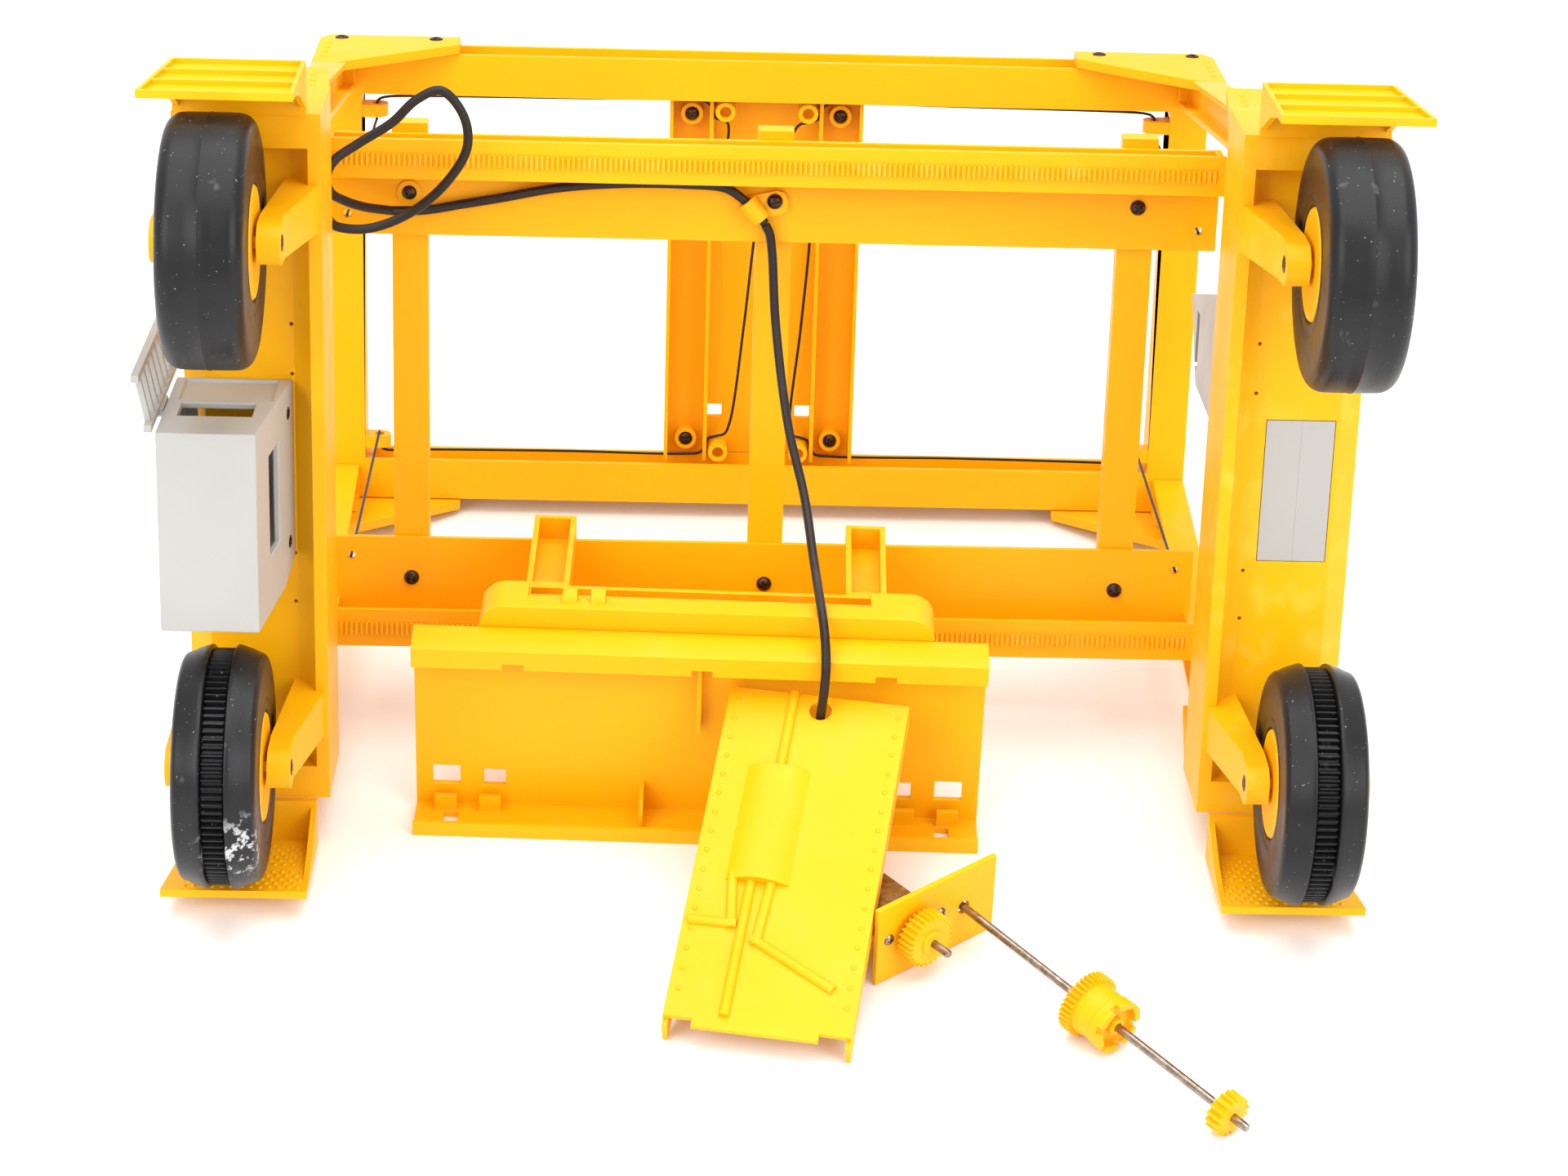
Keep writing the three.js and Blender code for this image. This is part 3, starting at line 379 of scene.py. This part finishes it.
def apply_modifiers(made):
    """Turns what the modifiers show into the mesh itself."""
    bpy.context.view_layer.update()
    shaped = made.evaluated_get(bpy.context.evaluated_depsgraph_get())
    mesh = bpy.data.meshes.new_from_object(shaped)
    made.modifiers.clear()
    made.data = mesh


def round_edges(made, edge, segments=2):
    """Rounds the sharp edges by so many millimetres."""
    bevel = made.modifiers.new("edges", "BEVEL")
    bevel.width = edge * MM
    bevel.segments = segments
    bevel.limit_method = "ANGLE"
    bevel.angle_limit = math.radians(38)
    apply_modifiers(made)
    finished(made.data, 34, face_out=False)
    made.modifiers.new("shading", "WEIGHTED_NORMAL").keep_sharp = True
    apply_modifiers(made)


def drilled(made, tools):
    """Cuts closed shapes, given in the row frame, out of a piece."""
    for i, (points, faces) in enumerate(tools):
        mesh = bpy.data.meshes.new(f"{made.name}_tool_{i}")
        mesh.from_pydata(points, [], faces)
        finished(mesh)
        tool = linked(mesh.name, mesh)
        cutting = made.modifiers.new("cut", "BOOLEAN")
        cutting.object = tool
        cutting.solver = "EXACT"
        apply_modifiers(made)
        bpy.data.objects.remove(tool)


WELD = 2e-6                    # metres between points that are one
FLAT = math.radians(0.8)       # the turn between facets that are one face


def moulded(node, material=YELLOW, edge=0.35, tools=()):
    """A CAD node again, as the mould left it: its small holes cut and its edges rounded."""
    made = linked(node + "_moulding", frame["nodes"][node].data.copy())
    bm = bmesh.new()
    bm.from_mesh(made.data)
    bmesh.ops.remove_doubles(bm, verts=bm.verts, dist=WELD)
    bmesh.ops.dissolve_limit(bm, angle_limit=FLAT, verts=bm.verts, edges=bm.edges)
    bm.to_mesh(made.data)
    bm.free()
    finished(made.data, face_out=False)
    drilled(made, tools)
    round_edges(made, edge)
    made.data.materials.clear()
    made.data.materials.append(material)
    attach(made, BODY[node])
    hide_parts(node)
    return made


# ---------- cords: the points that each one's middle line passes, in millimetres ----------
CABLE_LOOP = [
    (-158.2, 92.4, 76), (-158.2, 96, 75.4), (-155.6, 100, 71.2), (-144.9, 106, 68.8), (-130.7, 110, 73.4),
    (-117.6, 110, 84.7), (-109.8, 110, 98.3), (-111.3, 110, 110), (-119, 110, 118.4), (-127.6, 110, 114.9),
    (-136.2, 110, 106.5), (-147.6, 108, 99.4), (-156.6, 104, 93.4), (-158.8, 101.5, 88),
    (-157.6, 103.5, 82.5), (-154, 109, 78.4), (-147.3, 117, 73.8), (-138.4, 127, 69.8),
]
CABLE_RUN = [
    (-137.9, 127.5, 69.6), (-126.3, 132.6, 68.7), (-113.1, 133.6, 70.9), (-99.9, 133.6, 73.4),
    (-77.8, 132.2, 78.2), (-55, 131, 80.6), (-33, 131, 80.8), (-18, 131.4, 79.6), (-12.2, 131.8, 76),
    (-7.5, 132, 71.5), (-3.4, 132, 66.6),
]
CABLE_DROP = [
    (-3.2, 142.05, 189.4), (-1.7, 141.4, 186.4), (-0.6, 139.4, 180), (1.3, 128.5, 156.2),
    (6.4, 109, 125.6), (12.6, 89, 107), (15.6, 67, 95.8), (17.3, 52, 90.8), (18.4, 40.5, 88.4),
    (19.2, 33, 85.2), (19.7, 27, 81), (19.9, 23, 75.5), (19.6, 21.2, 69), (19.1, 21, 62),
    (18.7, 21.8, 56), (18.6, 22.4, 51),
]
CABLE_R = 1.7
HOIST_CORD_R = 0.55
EYE_X = 154.4                  # where a hoist cord turns forward at the far frame's corner
LOOP_LEAVES_CHASSIS = 13       # the loop's point from which it starts to follow the lift frame
DROP_JOINS_CHASSIS = 8         # the drop's point from which it stays with the loose pieces

HOIST_STARTS = {
    "upper_left": [
        (-16.8, 291.3, 46), (-16.8, 288.6, 46.6), (-16.5, 285.4, 48.6), (-15.8, 284.2, 54), (-14.9, 284, 62),
        (-15.4, 284, 65.3),
    ],
    "upper_right": [
        (5.5, 291.3, 42), (5.6, 288.6, 42.6), (6, 285.4, 44.6), (7.6, 284.2, 51), (10.8, 284, 61.5),
        (13.4, 284, 65.3),
    ],
    "lower_left": [
        (-1.2, 291.3, 42), (-1.3, 288.6, 41.4), (-1.6, 285.4, 38.6), (-2.4, 284.2, 29), (-4, 284, 14),
        (-6.8, 284, -18), (-11.6, 284, -60), (-13.8, 284, -65.3),
    ],
    "lower_right": [
        (19.4, 291.3, 29), (19.3, 288.6, 28.4), (19.1, 285.4, 26), (18.6, 284.2, 14), (16.2, 284, -20),
        (12.9, 284, -60), (14, 284, -65.3),
    ],
}


def hoist_route(corner, sx, sz):
    """From the channel's plate round a boss, along the far frame, through the eye to the lift beam."""
    x = EYE_X
    route = [
        (17, 284, 66.2), (20.5, 284, 67.6), (21.7, 284, 71.2), (23.8, 284, 73.5), (30, 284, 74.2),
        (80, 284, 74), (145, 281.6, 73.9), (150.5, 280.4, 73.8),
        (153, 280, 73.2), (154.2, 280, 72), (x, 280, 70), (x, 280, 67.6), (x, 279.7, 66.1),
        (x, 278.6, 65.2), (x, 276.6, 65), (x, 271, 65.2), (x, 134.5, 65.8),
    ]
    return [*HOIST_STARTS[corner], *[(sx * a, b, sz * c) for a, b, c in route]]


def smooth_line(points, step=1.2):
    """Close points, in millimetres, on the centripetal Catmull-Rom curve through the ones given."""
    p = [Vector(q) for q in points]
    p = [2 * p[0] - p[1], *p, 2 * p[-1] - p[-2]]
    line = []
    for a, b, c, d in zip(p, p[1:], p[2:], p[3:]):
        t = [0.0]
        for u, v in ((a, b), (b, c), (c, d)):
            t.append(t[-1] + max((v - u).length, 1e-6) ** 0.5)
        count = max(2, round((c - b).length / step))
        for k in range(count):
            s = t[1] + (t[2] - t[1]) * k / count
            ab = a.lerp(b, (s - t[0]) / (t[1] - t[0]))
            bc = b.lerp(c, (s - t[1]) / (t[2] - t[1]))
            cd = c.lerp(d, (s - t[2]) / (t[3] - t[2]))
            abc = ab.lerp(bc, (s - t[0]) / (t[2] - t[0]))
            bcd = bc.lerp(cd, (s - t[1]) / (t[3] - t[1]))
            line.append(abc.lerp(bcd, (s - t[1]) / (t[2] - t[1])))
    return [*line, p[-2]]


def hose_shape(line, radius, sides=14):
    """A round tube along close points, with a frame carried along so that it doesn't twist."""
    points, faces = [], []
    side = None
    for i, q in enumerate(line):
        ahead = (line[min(i + 1, len(line) - 1)] - line[max(i - 1, 0)]).normalized()
        side = ahead.orthogonal() if side is None else side - ahead * side.dot(ahead)
        side.normalize()
        other = ahead.cross(side)
        for k in range(sides):
            a = 2 * math.pi * k / sides
            points.append(q + radius * (math.cos(a) * side + math.sin(a) * other))
    for i in range(len(line) - 1):
        for k in range(sides):
            m = (k + 1) % sides
            faces.append([i * sides + k, i * sides + m, (i + 1) * sides + m, (i + 1) * sides + k])
    faces += [list(range(sides))[::-1], [(len(line) - 1) * sides + k for k in range(sides)]]
    return points, faces


def make_cord(node, route, place, radius, bend=None, step=1.2, sides=14):
    """Builds a cord.

    bend is its body at the first point, its body at the last, and two points of the route; when it is given,
    the cord rides no body and stays where it is built, and what it holds is not used.
    """
    line = smooth_line(route, step)
    body = None if bend else BODY[node]
    made = piece(node + "_sheath", hose_shape(line, radius, sides), place, CABLE, body, [node], 60)
    if bend:
        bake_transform(made)


make_cord("cable_loop", CABLE_LOOP, CHASSIS, CABLE_R,
          ("chassis", "lift_frame", CABLE_LOOP[LOOP_LEAVES_CHASSIS], CABLE_LOOP[-1]))
make_cord("cable_run", CABLE_RUN, CHASSIS, CABLE_R)
make_cord("cable_drop", CABLE_DROP, ROOM, CABLE_R,
          ("lift_frame", "chassis", CABLE_DROP[0], CABLE_DROP[DROP_JOINS_CHASSIS]))
for corner, (sx, sz) in CORNERS.items():
    route = hoist_route(corner, sx, sz)
    make_cord("hoist_cord_" + corner, route, CHASSIS, HOIST_CORD_R,
              ("chassis", "lift_frame", route[-2], route[-1]), 1.0, 10)


# ---------- wheels: profiles of (radius, x) ----------
def shoulder(r0, r1, x0, x1, steps=8):
    """A quarter round from the side wall at (r0, x0) to the tread at (r1, x1)."""
    turns = [math.pi / 2 * k / steps for k in range(steps + 1)]
    return [(r0 + (r1 - r0) * math.sin(a), x0 + (x1 - x0) * (1 - math.cos(a))) for a in turns]


def both_ways(half):
    """A profile's left half, then the same mirrored."""
    return [*half, *[(r, -x) for r, x in half[::-1]]]


SMOOTH_HALF = [(19.3, -13.4), (19.9, -14), (22.5, -14.25), (23.1, -13.9), (24, -13.9), (24.6, -14.25),
               *shoulder(36.8, 41.9, -14.25, -8.8, 10), (42.0, -5), (42.0, -0.5), (42.2, -0.2)]
SPLIT_HALF = [(19.3, -13.4), (19.9, -14), (22.5, -14.25), (23.1, -13.9), (24, -13.9), (24.6, -14.25),
              *shoulder(35.4, 39.3, -14.25, -11.8, 6), (40.6, -9), (41.6, -6), (42.0, -4.8), (41.9, -4.3),
              (41.4, -4.0), (37, -4.0)]
HUB_HALF = [(0, -13.7), (2, -13.7), (15.2, -13.7), (15.8, -14.1), (18.3, -14.1), (19.0, -13.4)]


def stub(inner, outer):
    """A stub axle, 4 mm thick, with chamfered ends."""
    return turned([(0, inner), (1.6, inner), (2, inner + 0.4), (2, outer - 0.4), (1.6, outer), (0, outer)],
                  24)


def cross_screw(radius, height, sides=40):
    """A domed screw head facing -x, with a cross-shaped recess pressed in; its seat is at x = 0."""
    arm, reach, deep = radius * 0.16, radius * 0.6, height * 0.55
    turns = [math.pi / 2 * k / 6 for k in range(1, 7)]
    crown = [(radius * math.sin(a), -height * math.cos(a)) for a in turns]
    profile = [(0, -height), (radius * 0.06, -height), *crown, (radius, 0.35), (0, 0.35)]
    bars = [box_shape(-height - 1, -height + deep, -reach, reach, -arm, arm),
            box_shape(-height - 1, -height + deep, -arm, arm, -reach, reach)]
    return turned(profile, sides), bars


def place_screw(name, place, body, radius=2.75, height=1.9, material=BLACK_STEEL, replaces=(),
                spin=0.3):
    """A cross-head screw whose head faces the place's -x."""
    head, bars = cross_screw(radius, height)
    place = place @ Matrix.Rotation(spin, 4, "X")
    points, faces = head
    mesh = bpy.data.meshes.new(name)
    mesh.from_pydata([place @ Vector(p) for p in points], [], faces)
    finished(mesh, 40)
    made = linked(name, mesh)
    drilled(made, [moved(bar, place) for bar in bars])
    made.data.materials.clear()
    made.data.materials.append(material)
    finished(made.data, 40)
    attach(made, body)
    if replaces:
        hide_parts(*replaces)
    return made


FACE_FRONT = Matrix.Rotation(math.pi / 2, 4, "Z")     # turns a head that faces -x to face -y
FACE_TOP = Matrix.Rotation(math.pi / 2, 4, "Y")       # and one to face +z

for corner, (sx, sz) in CORNERS.items():
    body = "wheel_" + corner
    wheel = CHASSIS @ Matrix.Translation((sx * TYRE_X, 0, sz * WHEEL_HALF)) @ mirrored(sx)
    spin = Matrix.Rotation(0.4 * (sx + 2 * sz), 4, "X")
    skin = SCUFFED_TYRE if corner == "lower_left" else TYRE
    half = SMOOTH_HALF if sz > 0 else SPLIT_HALF
    piece("tyre_rubber_" + corner, turned(both_ways(half), 128), wheel, skin, body, ["tyre_" + corner])
    if sz < 0:
        piece("toothed_ring_" + corner, toothed(92, 38.7, 40.7, 37.3, -3.7, 3.7, 0.3), wheel @ spin, TYRE,
              body, ["drive_ring_" + corner], 25)
    hub = merged(turned(both_ways(HUB_HALF), 96), stub(-20.4, -13), stub(13, 19.2))
    piece("wheel_hub_" + corner, hub, wheel, YELLOW, body, ["hub_" + corner])
    arm_face = CHASSIS @ Matrix.Translation((sx * FORK_FACE_X, 0, sz * WHEEL_HALF)) @ mirrored(sx)
    place_screw("axle_screw_" + corner, arm_face, "chassis", 2.9, 0.35)


# ---------- sills ----------
SILL_FACE_Y = 56
PIN_HOLES_X, PIN_HOLES_Z = 167.4, (48.4, 30.4, -35.6, -53.8)
END_HOLE_X, END_HOLE_Z = 186, 119


def hole_tool(place, radius, x0, x1, sides=20):
    """A cylinder about the place's x, to cut a hole with."""
    profile = [(0, x0), (radius * 0.5, x0), (radius, x0), (radius, x1), (radius * 0.5, x1), (0, x1)]
    return moved(turned(profile, sides), place)


def sill_tools(sx):
    """The small holes in a sill's face."""
    tools = []
    for z in PIN_HOLES_Z:
        at = CHASSIS @ Matrix.Translation((sx * PIN_HOLES_X, SILL_FACE_Y, z)) @ FACE_FRONT
        tools.append(hole_tool(at, 0.7, -2, 3, 12))
    for sz in (-1, 1):
        at = CHASSIS @ Matrix.Translation((sx * END_HOLE_X, SILL_FACE_Y, sz * END_HOLE_Z)) @ FACE_FRONT
        tools.append(hole_tool(at, 1.6, -2, 2))
    return tools


moulded("sill_left", edge=0.5, tools=sill_tools(-1))
moulded("sill_right", edge=0.5, tools=sill_tools(1))
seam = moved(box_shape(184.2, 184.45, 55.2, 56.0, -40, 40), CHASSIS)
moulded("sill_panel", GREY, 0.2, [seam])
moulded("cable_gland", edge=0.3)

TREAD_ROWS, TREAD_COLUMNS, TREAD_STEP = 12, 13, 3.3
TREAD_FACE_Z = 140.5
TREAD_GAP_Y = (16.5, 21.5)     # a plain band across the tread
TREAD_END_X = 204
GUSSET_FACE_Z = 97
GUSSET_SCREWS_X, GUSSET_SCREWS_Y = (131, 168), 281.5
GUSSET_RIVETS_X = 172.3
SILL_END_Z = 121.5

for corner, (sx, sz) in CORNERS.items():
    moulded("fender_" + corner, edge=0.3)
    moulded("leg_" + corner, edge=0.35)
    moulded("gusset_" + corner, edge=0.4)
    face = CHASSIS @ mirrored(sx, 1, sz)
    # raised tread bumps on the side of the fender that faces the wheel
    bumps = []
    for row in range(TREAD_ROWS):
        for column in range(TREAD_COLUMNS):
            x, y = 163.2 + column * TREAD_STEP + (row % 2) * TREAD_STEP / 2, 3.2 + row * 3.1
            if TREAD_GAP_Y[0] < y < TREAD_GAP_Y[1] or x > TREAD_END_X:
                continue
            at = Matrix.Translation((x, y, TREAD_FACE_Z)) @ Matrix.Rotation(math.pi, 4, "X")
            bumps.append(moved(dome(1.05, 0.55, 2, 8), at))
    piece("fender_tread_" + corner, merged(*bumps), face, YELLOW, "chassis", angle=50)
    # rivets on the gusset and on the plate at the sill's end
    spots = [(GUSSET_RIVETS_X, 249 + 7.5 * k, GUSSET_FACE_Z) for k in range(4)]
    for k in range(4):
        spots += [(162.5 + 0.5 * k, 92 + 8 * k, SILL_END_Z), (195 - 4.6 * k, 92 + 8 * k, SILL_END_Z)]
    rivets = [moved(dome(1.1, 0.7), Matrix.Translation(spot)) for spot in spots]
    piece("frame_rivets_" + corner, merged(*rivets), face, YELLOW, "chassis", angle=50)
    for i, x in enumerate(GUSSET_SCREWS_X):
        at = CHASSIS @ Matrix.Translation((sx * x, GUSSET_SCREWS_Y, sz * GUSSET_FACE_Z))
        place_screw(f"gusset_screw_{corner}_{i + 1}", at @ mirrored(1, 1, sz) @ FACE_TOP, "chassis",
                    2.75, 0.8, spin=0.3 + i)

# ---------- far frame and hoist channel ----------
moulded("far_frame", edge=0.4)
CORD_BOSS = Vector((16.4, 277, 71.2))
SCREW_BOSS = Vector((29.6, 286.4, 68.3))


def at_corner(point, sx, sz):
    """The point in one corner of the chassis, with x turned to face the front."""
    return CHASSIS @ Matrix.Translation((sx * point.x, point.y, sz * point.z)) @ FACE_FRONT


boss_holes = [hole_tool(at_corner(CORD_BOSS, sx, sz), 2.3, -2, 5) for sx, sz in CORNERS.values()]
moulded("hoist_channel", edge=0.3, tools=boss_holes)
for corner, (sx, sz) in CORNERS.items():
    seat = at_corner(SCREW_BOSS, sx, sz)
    ring = turned([(2.9, 0.3), (2.9, -0.3), (3.2, -0.6), (4.3, -0.6), (4.5, -0.4), (4.5, 5.4), (2.9, 5.4)],
                  48)
    piece("channel_boss_" + corner, ring, seat, YELLOW, "chassis")
    place_screw("channel_screw_" + corner, seat, "chassis", 2.7, 1.5, spin=0.2 + sx)

# ---------- cabinets ----------
moulded("control_cabinet", GREY, 0.6)
moulded("access_ladder", GREY, 0.25)
moulded("driver_cab", GREY, 0.5)
CABINET_TAPER = math.atan2(6.6, 60.6)      # how far the cabinet's inner side leans
for i, z in enumerate((19, -28)):
    seat = Matrix.Translation((-168.2, 47, z)) @ Matrix.Rotation(CABINET_TAPER, 4, "Z").inverted()
    place_screw(f"cabinet_screw_{i + 1}", CHASSIS @ seat @ mirrored(-1), "chassis", 2.4, 0.5, spin=0.5 * i)

# ---------- lift frame ----------
RACK_PITCH = 1.884
RACK_TEETH = 168
RACK_TIP_Y, RACK_ROOT_Y = 121.9, 123
RACK_Z = (87.6, 92.2)
BEAM_FACE_Y = 136
CLIP_FACE_Y = 133.9            # the front of the cable clip, where its screw sits
TIE_X = 132
TIE_SCREW_Z = 74.4


def rack_strip():
    """A strip of fine teeth facing -y."""
    half = RACK_TEETH * RACK_PITCH / 2
    teeth = [box_shape(-half, half, RACK_ROOT_Y - 0.2, RACK_ROOT_Y + 0.3, *RACK_Z)]
    for i in range(RACK_TEETH):
        x = (i + 0.5 - RACK_TEETH / 2) * RACK_PITCH
        outline = [(x - 0.7, RACK_ROOT_Y), (x - 0.45, RACK_TIP_Y), (x + 0.45, RACK_TIP_Y),
                   (x + 0.7, RACK_ROOT_Y)]
        teeth.append(prism(outline, *RACK_Z))
    return merged(*teeth)


for level, sz in (("upper", 1), ("lower", -1)):
    moulded("lift_beam_" + level, edge=0.35)
    piece("rack_teeth_" + level, rack_strip(), CHASSIS @ mirrored(1, 1, sz), YELLOW, "lift_frame", angle=30)
    for i, (side, x) in enumerate((("left", -TIE_X), ("middle", 0), ("right", TIE_X))):
        seat = CLIP_FACE_Y if (level, side) == ("upper", "middle") else BEAM_FACE_Y
        where = CHASSIS @ Matrix.Translation((x, seat - 0.35, sz * TIE_SCREW_Z)) @ FACE_FRONT
        place_screw(f"tie_screw_head_{level}_{side}", where, "lift_frame", 2.8, 1.9,
                    replaces=[f"tie_screw_{level}_{side}"], spin=0.25 + i)
for side in ("left", "middle", "right"):
    moulded("lift_tie_" + side, edge=0.35)

# the clip: a strap round the cable and a tab under the middle screw
clip_turn = Matrix.Translation((-7.5, 0, 71.5)) @ Matrix.Rotation(-0.7, 4, "Y") @ FACE_TOP
strap = [(3.5, -4.4), (3.7, -4.2), (3.7, 4.2), (3.5, 4.4), (2.2, 4.4), (2.2, -4.4)]
strap_piece = moved(turned(strap, 48), clip_turn @ Matrix.Translation((0, 132, 0)))
tab = [(-2.2, -4.6), (9, -4.6), (11.6, -3.2), (12.4, 0), (11.6, 3.2), (9, 4.4), (-2.2, 4.4)]
tab_turn = Matrix.Translation((-7.2, 0, 72)) @ Matrix.Rotation(-0.22, 4, "Y")
tab_piece = moved(moved(prism(tab, CLIP_FACE_Y, 135.7), ALONG_Y), tab_turn)
piece("cable_clip_strap", merged(strap_piece, tab_piece), CHASSIS, YELLOW, "lift_frame", ["cable_clip"])
pad = moved(turned([(0, 0.0), (3, 0.0), (4.3, 0.0), (4.5, 0.2), (4.5, 0.9), (3, 0.9), (0, 0.9)], 40),
            CHASSIS @ Matrix.Translation((-TIE_X, BEAM_FACE_Y - 0.9, TIE_SCREW_Z)) @ FACE_FRONT)
piece("screw_pad", pad, Matrix.Identity(4), YELLOW, "lift_frame")

# ---------- loose tray, carriage, arm frame and cover ----------
moulded("trolley_tray", edge=0.4)
moulded("trolley_carriage", edge=0.6)
HOOK_OUTER, HOOK_INNER, HOOK_WIDTH = 4.6, 2.9, 5.2
hooks = []
for x in (-47, -37):
    arc = [(HOOK_OUTER, -0.5 + 0.42 * k) for k in range(9)]
    arc += [(HOOK_INNER, -0.5 + 0.42 * k) for k in range(8, -1, -1)]
    hook = [(r * math.cos(a), r * math.sin(a)) for r, a in arc]
    stand = Matrix.Translation((x - HOOK_WIDTH / 2, 28.3, 84.6)) @ ALONG_X
    hooks.append(moved(prism(hook, 0, HOOK_WIDTH), stand))
piece("carriage_hooks", merged(*hooks), TRAY, YELLOW, "chassis", edge=0.25)


def trough(x0, x1, y0, y1, wall, z0=68, z1=79, floor=2.2):
    """An open-topped box made of its four walls and floor."""
    return merged(box_shape(x0, x1, y0, y0 + wall, z0, z1), box_shape(x0, x1, y1 - wall, y1, z0, z1),
                  box_shape(x0, x0 + wall, y0 + wall, y1 - wall, z0, z1),
                  box_shape(x1 - wall, x1, y0 + wall, y1 - wall, z0, z1),
                  box_shape(x0 + wall, x1 - wall, y0 + wall, y1 - wall, z0, z0 + floor))


arm_frame = merged(trough(-64, 66, 38.6, 47, 2), trough(-64, -48.6, 47, 96, 2),
                   trough(51.4, 66, 47, 96, 2))
piece("arm_frame_troughs", arm_frame, TRAY, YELLOW, "chassis", ["trolley_arm_frame"])
moulded("tank_cover", edge=0.35)
COVER_RIVETS, COVER_RIVET_X, COVER_RIVET_STEP = 16, 28.6, 8.07
rivets = [moved(dome(0.95, 0.55), Matrix.Translation((s * COVER_RIVET_X, 11 + COVER_RIVET_STEP * k, 0)))
          for s in (-1, 1) for k in range(COVER_RIVETS)]
piece("cover_rivets", merged(*rivets), COVER, YELLOW, "chassis", angle=50)

# ---------- loose drive ----------
moulded("motor_plate", edge=0.3)
moulded("gear_motor", STEEL, 0.5)
for i, (x, z) in enumerate(((32.7, 18.2), (8.9, 17.5))):
    place_screw(f"motor_screw_{i + 1}", DRIVE @ Matrix.Translation((x, -0.05, z)) @ FACE_FRONT, "chassis",
                2.1, 1.1, STEEL, spin=0.6 + i)
gear = merged(toothed(28, 8.5, 10, 1.5, 2.2, 8.8),
              turned([(1.5, 8.5), (4.4, 8.5), (4.4, 9.6), (4.0, 10), (1.5, 10)], 40))
piece("output_gear", gear, MOTOR, YELLOW, "output_gear", ["motor_gear"], 30)
shaft = turned([(0, -9), (1.1, -9), (1.45, -8.6), (1.45, 17.5), (1.1, 17.9), (0, 17.9)], 32)
piece("output_shaft", shaft, MOTOR, STEEL, "output_gear")

rod = turned([(0, -6), (1.1, -6), (1.5, -5.6), (1.5, 138.1), (1.1, 138.5), (0, 138.5)], 40)
piece("axle_rod", rod, AXLE, STEEL, "axle_set", ["drive_axle"])
CLAW_TEETH = 6
tooth = [(7.3, -3.1), (9.2, -3.5), (9.6, -2.4), (9.75, 0), (9.6, 2.4), (9.2, 3.5), (7.3, 3.1)]
compound = [toothed(36, 10.0, 11.5, 1.6, 60, 65)]
compound.append(turned([(1.6, 64.6), (9.7, 64.6), (9.7, 67), (9.3, 67.3), (9.3, 72.6), (9.7, 73), (9.7, 76),
                        (7.4, 76), (7.0, 75), (1.6, 75)], 64))
for k in range(CLAW_TEETH):
    turn = Matrix.Rotation(2 * math.pi * k / CLAW_TEETH + 0.26, 4, "X")
    compound.append(moved(moved(prism(tooth, 75.5, 78), ALONG_X), turn))
compound.append(turned([(1.6, 72), (3.2, 72), (3.2, 77), (2.8, 77.4), (1.6, 77.4)], 40))
piece("compound_gear_body", merged(*compound), AXLE, YELLOW, "axle_set", ["compound_gear"], 30)
collar = turned([(1.6, 124.8), (3.4, 124.8), (3.8, 125.2), (3.8, 126.3), (1.6, 126.3)], 40)
pinion = merged(toothed(16, 5.9, 7.5, 1.6, 126, 132), collar)
piece("end_pinion_body", pinion, AXLE, YELLOW, "axle_set", ["end_pinion"], 30)


# ---------- floor and light ----------
def make_floor():
    s = Shader("studio_floor", Roughness=0.6)
    s.set("Base Color", s.mix(s.ramp(s.noise(1.2, 2), 0.3, 0.7), (0.9, 0.9, 0.9), (0.93, 0.93, 0.93)))
    mesh = bpy.data.meshes.new("floor")
    mesh.from_pydata([(-8, -4, 0), (8, -4, 0), (8, 12, 0), (-8, 12, 0)], [], [(0, 1, 2, 3)])
    mesh.materials.append(s.material)
    linked("floor", mesh)


def area_light(name, at, aim, size, power):
    """A square lamp that shines at a point, all in metres and watts."""
    data = bpy.data.lights.new(name, "AREA")
    data.size = size
    data.energy = power
    light = linked(name, data)
    light.location = at
    light.rotation_euler = (Vector(aim) - Vector(at)).to_track_quat("-Z", "Y").to_euler()


make_floor()
area_light("top_soft", (0, 0.1, 2.2), (0, 0, 0.1), 2.6, 52)
area_light("front_left_soft", (-1.4, -1.7, 1.5), (0, 0, 0.12), 1.5, 24)
area_light("front_right_soft", (1.5, -1.5, 1.2), (0, 0, 0.12), 1.4, 18)
world = bpy.data.worlds.new("studio")
world.use_nodes = True
world.node_tree.nodes["Background"].inputs["Color"].default_value = (1, 1, 1, 1)
world.node_tree.nodes["Background"].inputs["Strength"].default_value = 0.95
bpy.context.scene.world = world
bpy.context.scene.view_settings.view_transform = "Standard"
